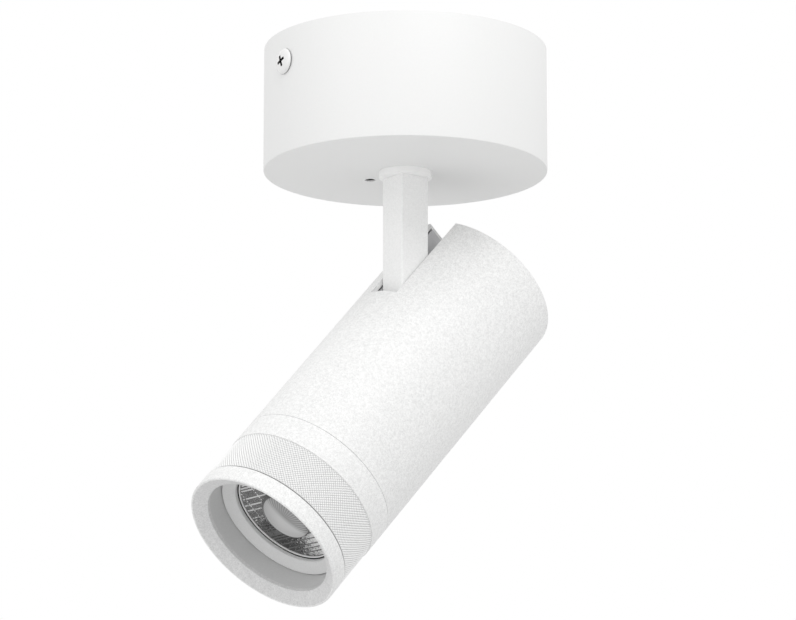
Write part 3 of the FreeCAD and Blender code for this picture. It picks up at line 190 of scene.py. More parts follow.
class Value:
    """An output of a node. Sums and products with it add Math nodes."""

    def __init__(self, nodes, socket):
        self.nodes = nodes
        self.socket = socket

    def also(self, name):
        """Another output of the same node."""
        return Value(self.nodes, self.socket.node.outputs[name])

    def _math(self, operation, first, second=None):
        return self.nodes.node("Math", {"operation": operation}, [first, second])

    def __add__(self, other):
        return self._math("ADD", self, other)

    def __radd__(self, other):
        return self._math("ADD", other, self)

    def __sub__(self, other):
        return self._math("SUBTRACT", self, other)

    def __rsub__(self, other):
        return self._math("SUBTRACT", other, self)

    def __mul__(self, other):
        return self._math("MULTIPLY", self, other)

    def __rmul__(self, other):
        return self._math("MULTIPLY", other, self)

    def __truediv__(self, other):
        return self._math("DIVIDE", self, other)

    def power(self, other):
        return self._math("POWER", self, other)

    def sine(self):
        return self._math("SINE", self)

    def larger(self, other):
        return self._math("MAXIMUM", self, other)


class Nodes:
    """The nodes of a material or of the studio's surroundings."""

    def __init__(self, tree):
        self.tree = tree

    def node(self, kind, settings=None, inputs=None, output=0):
        """Add a node: its settings first, then the values or links of its sockets."""
        made = self.tree.nodes.new(f"ShaderNode{kind}")
        for name, value in (settings or {}).items():
            if name == "stops":
                self._set_stops(made.color_ramp, value)
            else:
                setattr(made, name, value)
        items = inputs.items() if isinstance(inputs, dict) else enumerate(inputs or [])
        for key, value in items:
            if isinstance(value, Value):
                self.tree.links.new(value.socket, made.inputs[key])
            elif value is not None:
                made.inputs[key].default_value = value
        return Value(self, made.outputs[output]) if made.outputs else None

    @staticmethod
    def _set_stops(ramp, stops):
        while len(ramp.elements) < len(stops):
            ramp.elements.new(0.5)
        for element, (place, shade) in zip(ramp.elements, stops):
            element.position = place
            element.color = (shade, shade, shade, 1) if isinstance(shade, float) else shade


class Finish(Nodes):
    """A material with one Principled shader."""

    def __init__(self, name, **constants):
        self.material = bpy.data.materials.new(name)
        self.material.use_nodes = True
        super().__init__(self.material.node_tree)
        self.shader = self.tree.nodes["Principled BSDF"]
        for socket, value in constants.items():
            self.shader.inputs[socket.replace("_", " ")].default_value = value

    def feed(self, **links):
        """Link what changes over the surface to the shader's sockets."""
        for socket, value in links.items():
            self.tree.links.new(value.socket, self.shader.inputs[socket.replace("_", " ")])

    def place(self):
        """The point on the piece, in metres, in the object's frame."""
        return self.node("TexCoord", output="Object")

    def head_place(self):
        """The point in the head's frame, in millimetres."""
        upright = HEAD_PLACE.inverted()
        return self.node("Mapping", {"vector_type": "POINT"}, {
            "Vector": self.place(),
            "Location": tuple(upright.translation / MM),
            "Rotation": tuple(upright.to_euler()),
            "Scale": (1 / MM,) * 3,
        })

    def from_head_axis(self):
        """Across, up and reach of the point from the head's axis, in millimetres."""
        across = self.node("SeparateXYZ", None, [self.head_place()])
        up = across.also("Y")
        return across, up, (across * across + up * up).power(0.5)

    def turn_angle(self, up, across):
        """The angle about the head's axis, in radians."""
        return self.node("Math", {"operation": "ARCTAN2"}, [up, across])

    def noise(self, point, size, detail=2.0, roughness=0.5):
        """Soft noise whose blobs are about size across, in the point's own unit."""
        return self.node("TexNoise", None, {
            "Vector": point, "Scale": 1 / size, "Detail": detail, "Roughness": roughness})

    def ramp(self, value, stops):
        """A shade or colour by value: stops are (value, shade) pairs."""
        return self.node("ValToRGB", {"stops": stops}, [value])

    def blend(self, share, first, second):
        """Mix two colours by a share."""
        made = self.tree.nodes.new("ShaderNodeMix")
        made.data_type = "RGBA"
        for socket, value in (("Factor", share), ("A", first), ("B", second)):
            place = next(i for i in made.inputs if i.name == socket
                         and i.type == ("VALUE" if socket == "Factor" else "RGBA"))
            if isinstance(value, Value):
                self.tree.links.new(value.socket, place)
            else:
                place.default_value = value
        return Value(self, next(o for o in made.outputs if o.type == "RGBA"))

    def bump(self, height, distance):
        """A normal from a height of 0 to 1, which stands for the given metres."""
        return self.node("Bump", None, {
            "Height": height, "Distance": distance, "Strength": 1.0})


def grey(level):
    return (level, level, level, 1.0)


def shaded(colour, share):
    """A colour made darker."""
    return tuple(part * share for part in colour[:3]) + (1,)


PEEL_COARSENESS = 2.7       # size of the coarse grain, in fine grains
PAINT_CLOUD = 0.03          # metres
PAINT_ROUGHNESS = 0.5


def powder_coat(name, colour, grain, depth, speckle, painted_shade_band=None):
    """White paint with the fine orange-peel grain of baked powder.

    grain and depth are the peel's size and height in metres, and speckle is how much darker
    its low places are. The last argument is (inner, outer, shade), with two radii from the
    head's axis in millimetres: inside the inner one the paint has that grey as painted shade,
    and it clears up on the way to the outer one.
    """
    finish = Finish(name, Specular_IOR_Level=0.4)
    point = finish.place()
    fine = finish.noise(point, grain, 3.0, 0.6)
    coarse = finish.noise(point, grain * PEEL_COARSENESS)
    cloud = finish.noise(point, PAINT_CLOUD)
    flecks = finish.ramp(fine * 0.65 + coarse * 0.35, [(0.36, 0.0), (0.62, 1.0)])
    tinted = finish.blend(flecks, shaded(colour, 1 - speckle), colour)
    settled = finish.blend(cloud * 0.06, tinted, grey(0.80))
    # Painted shade: near the head's axis the paint's colour turns to the grey of the shade.
    if painted_shade_band:
        inner, outer, shade = painted_shade_band
        reach = finish.from_head_axis()[2]
        clear = finish.ramp((reach - inner) / (outer - inner), [(0.03, 0.0), (0.26, 1.0)])
        painted_shade_grey = finish.blend(flecks, grey(shade * (1 - speckle)), grey(shade))
        settled = finish.blend(clear, painted_shade_grey, settled)
    worn = finish.ramp(coarse, [(0.3, PAINT_ROUGHNESS - 0.06), (0.7, PAINT_ROUGHNESS + 0.06)])
    finish.feed(Base_Color=settled, Roughness=worn,
                Normal=finish.bump(fine * 0.6 + coarse * 0.4, depth))
    return finish.material


def moulded(name, colour, roughness=0.45, grain=0.0004, depth=0.00001):
    """Plain moulded plastic or rubber: a faint skin texture and slightly uneven gloss."""
    finish = Finish(name)
    point = finish.place()
    skin = finish.noise(point, grain)
    cloud = finish.noise(point, 0.008)
    finish.feed(
        Base_Color=finish.blend(cloud, shaded(colour, 0.95), colour),
        Roughness=finish.ramp(skin, [(0.3, roughness - 0.05), (0.7, roughness + 0.05)]),
        Normal=finish.bump(skin, depth))
    return finish.material


def plated(name, colour, roughness=0.32, metallic=1.0):
    """Turned or pressed metal with fine drawn lines and faint stains."""
    finish = Finish(name, Metallic=metallic)
    point = finish.place()
    stretched = finish.node("Mapping", None, {"Vector": point, "Scale": (1.0, 1.0, 0.08)})
    lines = finish.noise(stretched, 0.0003, 2.0, 0.6)
    cloud = finish.noise(point, 0.004, 3.0, 0.6)
    finish.feed(
        Base_Color=finish.blend(cloud, shaded(colour, 0.8), colour),
        Roughness=finish.ramp(lines, [(0.3, roughness - 0.08), (0.7, roughness + 0.1)]),
        Normal=finish.bump(lines, 0.000006))
    return finish.material


def sandcast(name, colour):
    """Bare die-cast metal: mottled and matt."""
    finish = Finish(name, Metallic=0.3)
    point = finish.place()
    pits = finish.noise(point, 0.0006, 4.0, 0.65)
    cloud = finish.noise(point, 0.006)
    finish.feed(
        Base_Color=finish.blend(cloud * 0.5 + pits * 0.5, shaded(colour, 0.65), colour),
        Roughness=finish.ramp(pits, [(0.3, 0.45), (0.7, 0.65)]),
        Normal=finish.bump(pits, 0.00004))
    return finish.material


def circuit_board(name, colour, copper):
    """A solder-masked board: straight copper runs show through the mask."""
    finish = Finish(name)
    point = finish.place()
    runs = finish.node("TexBrick", {"offset": 0.5}, {
        "Vector": point, "Scale": 1.0, "Color1": grey(0.0), "Color2": grey(1.0),
        "Mortar": grey(0.5), "Brick Width": 0.004, "Row Height": 0.0012,
        "Mortar Size": 0.0002})
    cloud = finish.noise(point, 0.002)
    finish.feed(
        Base_Color=finish.blend(runs * 0.35, colour, copper),
        Roughness=finish.ramp(cloud, [(0.3, 0.25), (0.7, 0.4)]))
    return finish.material


def phosphor_face(name):
    """The yellow compound over the light-emitting chips."""
    finish = Finish(name)
    dots = finish.node("TexVoronoi", {"feature": "F1"}, {
        "Vector": finish.place(), "Scale": 1 / 0.0012}, output="Distance")
    finish.feed(
        Base_Color=finish.ramp(dots, [(0.2, (0.95, 0.74, 0.20, 1)), (0.6, (0.90, 0.62, 0.12, 1))]),
        Roughness=finish.ramp(dots, [(0.2, 0.3), (0.6, 0.4)]))
    return finish.material


LENS_INDEX = 1.49
PAINTED_GLINT_TURN = math.radians(-165)     # where round the axis the cells' painted reflection is brightest, twice
STREAKS = 26.0          # blobs of the painted streaks' noise in a radian
STREAK_FADE = 0.9       # the same for a millimetre outwards
STREAK_START = 5.0      # place in the noise that the streaks are read from
RAYS = 46               # painted lighter rays round the dome, which are also a bump
CRESCENT = 1.5          # how far the painted dark crescent's circle lies to one side, in millimetres


def optic_cells_painted_reflection(name):
    """The lens's honeycomb zone: each facet's colour is its own share of painted reflection."""
    finish = Finish(name, IOR=LENS_INDEX, Specular_IOR_Level=0.35)
    across, up, reach = finish.from_head_axis()
    angle = finish.turn_angle(up, across)
    facet = finish.node("Attribute", {"attribute_name": "facet"}, output="Fac")
    cloud = finish.noise(finish.place(), 0.005)
    outwards = finish.node(
        "CombineXYZ", None, [angle * STREAKS, reach * STREAK_FADE, STREAK_START])
    streaks = finish.noise(outwards, 1.0, detail=1.0)
    # Painted reflection: two bright sectors round the axis, random facets and streaks lighten the
    # colour.
    painted_glint_sides = (angle * 2.0 + PAINTED_GLINT_TURN).sine()
    share = facet * 0.26 + streaks * 0.50 + cloud * 0.20 + painted_glint_sides * 0.24
    painted_glints = finish.ramp(share, [(0.28, 0.045), (0.42, 0.10), (0.60, 0.78)])
    finish.feed(Base_Color=painted_glints, Roughness=finish.ramp(cloud, [(0.3, 0.10), (0.7, 0.18)]))
    return finish.material


def optic_dome_painted_reflection(name):
    """The lens's convex middle in painted shade and reflection: light rays, a darker half, a dark
    crescent.
    """
    finish = Finish(name, IOR=LENS_INDEX, Specular_IOR_Level=0.8)
    across, up, reach = finish.from_head_axis()
    share = reach / DOME_RADIUS
    # Painted shade: one half of the dome and its far end are darkened in its colour.
    painted_shade_side = (across * 0.95 + up * 0.30) / DOME_RADIUS * 0.5 + 0.5
    painted_end_shade = (up * 0.65 - across * 0.75) / DOME_RADIUS * 0.5 + 0.5
    painted_half_shade = finish.ramp(painted_shade_side, [(0.56, 0.52), (0.68, 0.26)])
    body = finish.blend(finish.ramp(painted_end_shade, [(0.55, 0.0), (1.0, 0.35)]), painted_half_shade, grey(0.22))
    rays = (finish.turn_angle(up, across) * RAYS).sine() * 0.5 + 0.5
    shown = finish.ramp(share, [(0.25, 0.0), (0.85, 0.50)])
    lined = finish.blend(rays.power(2.0) * shown, body, grey(0.62))
    # Painted shade: a dark crescent at the dome's foot and the flat round it.
    aside = across - CRESCENT
    away = (aside * aside + up * up).power(0.5) / DOME_RADIUS
    crescent = finish.ramp(away, [(0.93, 0.0), (0.96, 1.0)])
    finish.feed(
        Base_Color=finish.blend(crescent, lined, grey(0.12)),
        Roughness=finish.ramp(share, [(0.0, 0.07), (1.0, 0.16)]),
        Normal=finish.bump(rays * shown, 0.00002))
    return finish.material


HEAD_WHITE = (0.925, 0.927, 0.922, 1)
HEAD_PEEL = (0.00042, 0.00006, 0.22)        # grain, depth, speckle
GROOVE_PAINTED_SHADE = 0.44     # painted shade: grey in the knurl's grooves
FLARE_PAINTED_SHADE = 0.77      # painted shade: grey in the bezel's flare
FLARE_EDGE = (0.9, 0.35)        # where the flare's painted shade clears, inside the bezel's radius, in millimetres

PAINT = powder_coat("white_powder_coat", HEAD_WHITE, *HEAD_PEEL)
# The stem's white is brighter than the head's: painted light where the canopy shades the stem.
STEM_PAINTED_LIGHT = powder_coat("stem_coat_painted_light", (0.96, 0.962, 0.957, 1), 0.00042, 0.00006, 0.09)
FINE_PAINT = powder_coat("smooth_powder_coat", (0.845, 0.847, 0.842, 1), 0.0003, 0.000012, 0.02)
# The knurled coat and the bezel's coat hold painted shade, in the knurl's grooves and in the
# flare.
KNURL_PAINT = powder_coat(
    "knurled_coat_painted_shade", (0.95, 0.952, 0.948, 1), 0.00055, 0.00002, 0.06,
    painted_shade_band=(KNURL_RADIUS - KNURL_HEIGHT, KNURL_RADIUS, GROOVE_PAINTED_SHADE))
# Grey copies of the white paint: painted shade in the sleeve's bore and on the carrier's funnel.
BORE_PAINTED_SHADE = powder_coat("bore_painted_shade", (0.64, 0.642, 0.64, 1), 0.0004, 0.00003, 0.06)
FUNNEL_PAINTED_SHADE = powder_coat("funnel_painted_shade", (0.74, 0.742, 0.74, 1), 0.0004, 0.00003, 0.06)
BEZEL_PAINT = powder_coat(
    "bezel_coat_painted_shade", HEAD_WHITE, *HEAD_PEEL,
    painted_shade_band=(KNURL_RADIUS - FLARE_EDGE[0], KNURL_RADIUS - FLARE_EDGE[1], FLARE_PAINTED_SHADE))
NYLON = moulded("white_nylon", (0.97, 0.97, 0.965, 1), 0.35)
WHITE_PLASTIC = moulded("white_plastic", (0.80, 0.80, 0.78, 1))
DARK_PLASTIC = moulded("dark_plastic", (0.03, 0.03, 0.033, 1))
SCREW_ENAMEL = moulded("screw_enamel", (0.86, 0.86, 0.855, 1), 0.24, 0.0004, 0.000002)
RUBBER = moulded("black_rubber", (0.012, 0.012, 0.012, 1), 0.65, 0.0006, 0.00003)
GREY_PAD = moulded("grey_pad", (0.28, 0.30, 0.32, 1), 0.8)
STEEL = plated("zinc_steel", (0.62, 0.63, 0.65, 1))
SCREW_STEEL = plated("bright_screw", (0.80, 0.80, 0.81, 1), 0.22)
BLACK_STEEL = plated("blackened_steel", (0.05, 0.05, 0.052, 1), 0.45, 0.6)
BRONZE = plated("sintered_bronze", (0.55, 0.38, 0.18, 1), 0.4)
BARE_METAL = plated("bare_aluminium", (0.72, 0.73, 0.74, 1), 0.3)
CAST_METAL = sandcast("cast_metal", (0.71, 0.71, 0.72, 1))
BOARD_GREEN = circuit_board("board_green", (0.02, 0.14, 0.07, 1), (0.10, 0.32, 0.12, 1))
BOARD_WHITE = circuit_board("board_white", (0.80, 0.80, 0.78, 1), (0.70, 0.68, 0.62, 1))
PHOSPHOR = phosphor_face("phosphor")
CELLS = optic_cells_painted_reflection("optic_cells_painted_reflection")
DOME = optic_dome_painted_reflection("optic_dome_painted_reflection")
RIM_GLOSS = moulded("lens_edge", (0.95, 0.95, 0.95, 1), 0.2, 0.0004, 0.000001)

NODE_FINISHES = {
    "ceiling_bracket": STEEL, "cable_grommet": RUBBER, "earth_screw": SCREW_STEEL,
    "earth_clamp": STEEL, "driver_case": WHITE_PLASTIC, "cup_studs": STEEL,
    "stud_nuts": SCREW_STEEL, "driver_board": BOARD_GREEN, "driver_parts": DARK_PLASTIC,
    "driver_lid": WHITE_PLASTIC, "terminal_block": WHITE_PLASTIC,
    "terminal_screws": SCREW_STEEL, "pivot_bush": BRONZE, "stem_nipple": STEEL,
    "slip_washer": NYLON, "stop_plate": STEEL, "wave_washer": SCREW_STEEL,
    "lock_nut": STEEL, "pivot_block": CAST_METAL, "pivot_pin": STEEL,
    "friction_shims": NYLON, "heat_sink": BARE_METAL, "heat_sink_screws": SCREW_STEEL,
    "thermal_pad": GREY_PAD, "led_board": BOARD_WHITE, "led_chip": PHOSPHOR,
    "led_holder": WHITE_PLASTIC, "led_screws": SCREW_STEEL, "guide_sleeve": BORE_PAINTED_SHADE,
    "sleeve_screws": SCREW_STEEL, "drag_ring": RUBBER, "guide_pins": STEEL,
    "lens_gasket": RUBBER, "lens_retainer": DARK_PLASTIC,
}


# ------------------------------------------------------------------ modelling helpers

SAME_PLACE = 0.001 * MM         # corners this near are merged


def deselect():
    """Leave edit mode and select nothing."""
    if bpy.context.object and bpy.context.object.mode != "OBJECT":
        bpy.ops.object.mode_set(mode="OBJECT")
    bpy.ops.object.select_all(action="DESELECT")


def make_active(piece):
    """Select one piece alone, for the operators that follow."""
    deselect()
    piece.select_set(True)
    bpy.context.view_layer.objects.active = piece
    return piece


def named(name):
    """Give the primitive just added its name."""
    piece = bpy.context.object
    piece.name = name
    piece.data.name = name
    return piece


def edit(kind="VERT"):
    """Go to edit mode with everything deselected."""
    bpy.ops.object.mode_set(mode="EDIT")
    bpy.ops.mesh.select_mode(type=kind)
    bpy.ops.mesh.select_all(action="DESELECT")


def pick(piece, kind, test):
    """Go to edit mode with the vertices, edges or faces selected that pass the test.

    The test gets a vertex's place, an edge's two ends, or a face's middle and normal.
    """
    bpy.ops.object.mode_set(mode="OBJECT")
    mesh = piece.data
    for group in (mesh.vertices, mesh.edges, mesh.polygons):
        group.foreach_set("select", [False] * len(group))
    if kind == "FACE":
        for face in mesh.polygons:
            face.select = test(face.center, face.normal)
    elif kind == "EDGE":
        for line in mesh.edges:
            ends = [mesh.vertices[i].co for i in line.vertices]
            line.select = test(*ends)
    else:
        for vertex in mesh.vertices:
            vertex.select = test(vertex.co)
    tools = bpy.context.tool_settings
    tools.mesh_select_mode = (kind == "VERT", kind == "EDGE", kind == "FACE")
    bpy.ops.object.mode_set(mode="EDIT")


def leave():
    """Go back to object mode."""
    bpy.ops.object.mode_set(mode="OBJECT")


def merge_doubles():
    bpy.ops.mesh.select_all(action="SELECT")
    bpy.ops.mesh.remove_doubles(threshold=SAME_PLACE)


def smooth(piece, degrees=35):
    """Shade a piece smoothly, apart from edges sharper than the given angle."""
    make_active(piece)
    bpy.ops.object.shade_smooth_by_angle(angle=math.radians(degrees))


def apply_all(piece):
    """Apply a piece's modifiers, in their order."""
    make_active(piece)
    for modifier in list(piece.modifiers):
        bpy.ops.object.modifier_apply(modifier=modifier.name)


def rounded(corners, sizes):
    """Round the corners of a closed outline, each by its own size, or not where that is 0."""
    result = []
    for index, (corner, size) in enumerate(zip(corners, sizes)):
        here = Vector(corner)
        if size <= 0:
            result.append(tuple(here))
            continue
        before = (Vector(corners[index - 1]) - here).normalized()
        after = (Vector(corners[(index + 1) % len(corners)]) - here).normalized()
        for step in range(CORNER_STEPS + 1):
            share = step / CORNER_STEPS
            start = here + before * size * (1 - share)
            end = here + after * size * share
            result.append(tuple(start.lerp(end, share)))
    return result


def turned(name, outline, steps):
    """Spin a closed outline of (radius, height) points, in millimetres, about Z."""
    deselect()
    bpy.ops.mesh.primitive_plane_add(size=MM)
    piece = named(name)
    edit()
    bpy.ops.mesh.select_all(action="SELECT")
    bpy.ops.mesh.merge(type="CENTER")
    first = outline[0]
    bpy.ops.transform.translate(value=(first[0] * MM, 0, first[1] * MM))
    for (r0, z0), (r1, z1) in zip(outline, outline[1:] + outline[:1]):
        move = ((r1 - r0) * MM, 0, (z1 - z0) * MM)
        bpy.ops.mesh.extrude_vertices_move(TRANSFORM_OT_translate={"value": move})
    merge_doubles()
    bpy.ops.mesh.select_all(action="SELECT")
    bpy.ops.mesh.spin(steps=steps, angle=2 * math.pi, center=(0, 0, 0), axis=(0, 0, 1))
    merge_doubles()
    bpy.ops.mesh.normals_make_consistent(inside=False)
    leave()
    return piece


def block(name, low, high):
    """A box between two corners, in millimetres."""
    deselect()
    size = [(b - a) * MM for a, b in zip(low, high)]
    centre = [(a + b) / 2 * MM for a, b in zip(low, high)]
    bpy.ops.mesh.primitive_cube_add(size=1, location=centre)
    piece = named(name)
    piece.scale = size
    bpy.ops.object.transform_apply(location=True, rotation=True, scale=True)
    return piece


def rod(name, radius, depth, centre, turn=(0, 0, 0), vertices=64):
    """A round rod, in millimetres, used to cut holes."""
    deselect()
    bpy.ops.mesh.primitive_cylinder_add(
        vertices=vertices, radius=radius * MM, depth=depth * MM,
        location=Vector(centre) * MM, rotation=turn)
    piece = named(name)
    bpy.ops.object.transform_apply(location=True, rotation=True, scale=True)
    return piece


def carve(piece, cutters):
    """Cut the cutters out of a piece, and remove them."""
    for cutter in cutters:
        hole = piece.modifiers.new("hole", "BOOLEAN")
        hole.operation = "DIFFERENCE"
        hole.solver = "EXACT"
        hole.object = cutter
        make_active(piece)
        bpy.ops.object.modifier_apply(modifier=hole.name)
        bpy.data.objects.remove(cutter)


def soften(piece, width, segments, degrees):
    """Round every edge sharper than the given angle, by a width in millimetres."""
    bevel = piece.modifiers.new("soft_edge", "BEVEL")
    bevel.width = width * MM
    bevel.segments = segments
    bevel.limit_method = "ANGLE"
    bevel.angle_limit = math.radians(degrees)
    bevel.use_clamp_overlap = True
    apply_all(piece)


def lay(piece, matrix):
    """Move a finished piece's mesh to its place, and leave the object at the origin."""
    make_active(piece)
    piece.matrix_world = matrix
    bpy.ops.object.transform_apply(location=True, rotation=True, scale=True)


def finish_piece(piece, material, body, stands_for=(), in_head=False):
    """Put a piece in its place, and give it its finish and body. None keeps its finishes."""
    if in_head:
        lay(piece, HEAD_PLACE)
    if material:
        piece.data.materials.clear()
        piece.data.materials.append(material)
    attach(piece, body)
    if stands_for:
        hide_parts(*stands_for)


def on_circle(radius, degrees):
    """X and Y of a point round the canopy's axis."""
    angle = math.radians(degrees)
    return radius * math.cos(angle), radius * math.sin(angle)


# ------------------------------------------------------------------ canopy and arm

def make_canopy_cup():
    """The deep round cover, with its two screw holes and the seat of the stop screw."""
    inner = CANOPY_RADIUS - CANOPY_WALL
    floor = CANOPY_WALL - CANOPY_HEIGHT
    cup = turned("canopy_cup_shell", rounded([
        (BUSH_OUTSIDE, -CANOPY_HEIGHT), (CANOPY_RADIUS, -CANOPY_HEIGHT),
        (CANOPY_RADIUS, 0), (inner, 0), (inner, floor), (BUSH_OUTSIDE, floor),
    ], [0, CANOPY_EDGE, 0.3, 0.3, 0.8, 0]), ROUND_LARGE)
    x, y = on_circle(*STOP_SCREW_AT)
    sink = rod("stop_screw_seat", STOP_SCREW_HEAD / 2, CANOPY_WALL * 4, (x, y, floor),
               vertices=ROUND_SMALL)
    hole_x, hole_y = on_circle(1, BRACKET_TURN + 90)
    side = rod("side_screw_holes", SIDE_SCREW_HOLE, CANOPY_RADIUS * 2.4,
               (0, 0, -SIDE_SCREW_DROP),
               Vector((hole_x, hole_y, 0)).to_track_quat("Z", "Y").to_euler(), ROUND_SMALL)
    carve(cup, [sink, side])
    smooth(cup, 30)
    finish_piece(cup, FINE_PAINT, "canopy", ["canopy_cup"])


def make_stop_screw():
    """A small sunk screw, with a dark socket in its head."""
    face = -CANOPY_HEIGHT + STOP_SCREW_SUNK
    screw = turned("stop_screw_body", [
        (0, face), (1.6, face), (1.8, face + 0.2), (1.0, face + 0.85),
        (1.0, STOP_SCREW_TOP), (0, STOP_SCREW_TOP)], ROUND_SMALL)
    carve(screw, [rod("stop_screw_socket", *STOP_SOCKET, (0, 0, face), vertices=6)])
    x, y = on_circle(*STOP_SCREW_AT)
    lay(screw, Matrix.Translation(Vector((x, y, 0)) * MM))
    smooth(screw)
    finish_piece(screw, BLACK_STEEL, "canopy", ["stop_screw"])


def make_collar():
    """The arm's bearing, whose flange is the collar under the cup."""
    collar = turned("swivel_collar", rounded([
        (BUSH_BORE, COLLAR_FACE), (COLLAR_RADIUS, COLLAR_FACE),
        (COLLAR_RADIUS, -CANOPY_HEIGHT), (BUSH_OUTSIDE, -CANOPY_HEIGHT),
        (BUSH_OUTSIDE, BUSH_TOP), (BUSH_BORE, BUSH_TOP),
    ], [0, 0.2, 0, 0, 0.2, 0.2]), ROUND_COLLAR)
    smooth(collar)
    finish_piece(collar, NYLON, "canopy", ["swivel_bush"])


def in_painted_shade(centre, normal):
    """Whether a face of a side screw lies in its cross recess or under its head's rim: painted
    shade.
    """
    reach = math.hypot(centre.x, centre.y) / MM
    height = centre.z / MM
    on_top = height > CROWN_HEIGHT and normal.z > 0.9
    under = (-NEAR < height < SEAT_HEIGHT + 0.05
             and (normal.z < -0.5 or reach < SEAT_RADIUS + 0.1))
    return under or (reach < RECESS_REACH + 0.1 and height > RECESS_FLOOR / 2 and not on_top)


def make_side_screws():
    """Truss-head screws with a cross recess, one each side of the canopy."""
    for index, side in enumerate((-90, 90)):
        screw = turned(f"side_screw_{index + 1}",
                       SIDE_SCREW_SHANK + SIDE_SCREW_SEAT + SIDE_SCREW_HEAD, ROUND_SCREW)
        cutters = []
        for turn in (0, 90):
            wing = block(f"recess_{turn}", (-RECESS_REACH, -RECESS_HALF, RECESS_FLOOR),
                         (RECESS_REACH, RECESS_HALF, RECESS_TOP))
            pick(wing, "FACE", lambda centre, normal: normal.z < -0.5)
            bpy.ops.transform.resize(value=RECESS_TAPER)
            leave()
            lay(wing, Matrix.Rotation(math.radians(turn + RECESS_TURN), 4, "Z"))
            cutters.append(wing)
        carve(screw, cutters)
        # Black steel in the cross recess and under the head's rim is painted shade.
        screw.data.materials.append(SCREW_ENAMEL)
        screw.data.materials.append(BLACK_STEEL)
        pick(screw, "FACE", in_painted_shade)
        screw.active_material_index = 1
        bpy.ops.object.material_slot_assign()
        leave()
        x, y = on_circle(CANOPY_RADIUS, side + BRACKET_TURN)
        aim = Vector((x, y, 0)).to_track_quat("Z", "Y").to_matrix().to_4x4()
        lay(screw, Matrix.Translation(Vector((x, y, -SIDE_SCREW_DROP)) * MM) @ aim)
        smooth(screw)
        stands_for = ["canopy_side_screws"] if index == 0 else []
        finish_piece(screw, None, "canopy", stands_for)


def make_stem():
    """The square arm: rounded eye at its end, nipple's hole on top, a way for the wires."""
    half = STEM_SIDE / 2
    bottom = PIVOT_Z - half + EYE_PLAY
    stem = block("square_stem", (-half, -half, bottom), (half, half, STEM_TOP + STEM_SPARE))
    pick(stem, "EDGE", lambda a, b: max(a.z, b.z) < (bottom + 1) * MM
         and abs(a.x - b.x) > half * MM)
    bpy.ops.mesh.bevel(offset=(half - EYE_FLAT) * MM, segments=EYE_STEPS)
    leave()
    soften(stem, STEM_CORNER, segments=4, degrees=60)
    along_x = (0, math.pi / 2, 0)
    along_y = (math.pi / 2, 0, 0)
    carve(stem, [
        block("stem_top_cut", (-STEM_SIDE, -STEM_SIDE, STEM_TOP),
              (STEM_SIDE, STEM_SIDE, STEM_TOP + STEM_SPARE + PAST)),
        rod("stem_eye_bore", PIVOT_BORE, PIVOT_BORE_LENGTH, (0, 0, PIVOT_Z), along_x),
        rod("stem_wire_exit", WIRE_EXIT, WIRE_EXIT_LENGTH,
            (0, WIRE_EXIT_LENGTH / 2, PIVOT_Z + WIRE_EXIT_RISE), along_y),
        rod("stem_top_bore", NIPPLE_HOLE, NIPPLE_DEPTH * 2, (0, 0, STEM_TOP)),
        rod("stem_wire_way", WIRE_WAY, WIRE_WAY_LENGTH, (0, 0, PIVOT_Z + WIRE_WAY_RISE)),
    ])
    smooth(stem, 30)
    finish_piece(stem, STEM_PAINTED_LIGHT, "arm", ["stem"])


# ------------------------------------------------------------------ head

def make_head_shell():
    """The tube with its closed rear end and the arm's slot."""
    inner = HEAD_RADIUS - SHELL_WALL
    floor = SHELL_REAR + SHELL_END
    shell = turned("head_tube", rounded([
        (0, SHELL_REAR), (HEAD_RADIUS, SHELL_REAR), (HEAD_RADIUS, SHELL_FRONT),
        (inner, SHELL_FRONT), (inner, floor), (0, floor),
    ], [0, 0.7, 0.1, 0, 0, 0]), ROUND_LARGE)
    slot = block("arm_slot", (ARM_OFFSET - SLOT_HALF, SLOT_FLOOR, SHELL_REAR - PAST),
                 (ARM_OFFSET + SLOT_HALF, HEAD_RADIUS + PAST, SLOT_FRONT))
    carve(shell, [slot])
    smooth(shell, 30)
    finish_piece(shell, PAINT, "head", ["head_shell"], in_head=True)


def make_bezel():
    """The ring at the very front, with its flared mouth."""
    bezel = turned("front_bezel_ring", rounded([
        (SLEEVE_OUTSIDE, RING_FRONT + BEZEL_GAP), (BEZEL_HUB, RING_FRONT + BEZEL_GAP),
        (BEZEL_HUB, BEZEL_BACK), (KNURL_RADIUS, BEZEL_BACK), (KNURL_RADIUS, BEZEL_FRONT),
        (KNURL_RADIUS - RIM_INSET - RIM, BEZEL_FRONT), (MOUTH, BEZEL_FRONT - FLARE_DEPTH),
        (MOUTH, SLEEVE_END), (SLEEVE_OUTSIDE, SLEEVE_END),
    ], [0, 0, 0, 0.25, 0.6, 0.1, 0.12, 0, 0]), ROUND_LARGE)
    smooth(bezel, 30)
    finish_piece(bezel, BEZEL_PAINT, "head", ["front_bezel"], in_head=True)


def make_focus_ring():
    """The smooth band, and the core under the knurled skin."""
    core = KNURL_RADIUS - KNURL_SKIN
    ring = turned("focus_ring_band", rounded([
        (RING_BORE, BAND_BACK), (HEAD_RADIUS, BAND_BACK), (HEAD_RADIUS, KNURL_BACK),
        (core, KNURL_BACK), (core, RING_FRONT), (RING_BORE, RING_FRONT),
    ], [0, 0.1, 0.15, 0, 0, 0]), ROUND_LARGE)
    smooth(ring, 30)
    finish_piece(ring, PAINT, "turning_ring", ["focus_ring"], in_head=True)


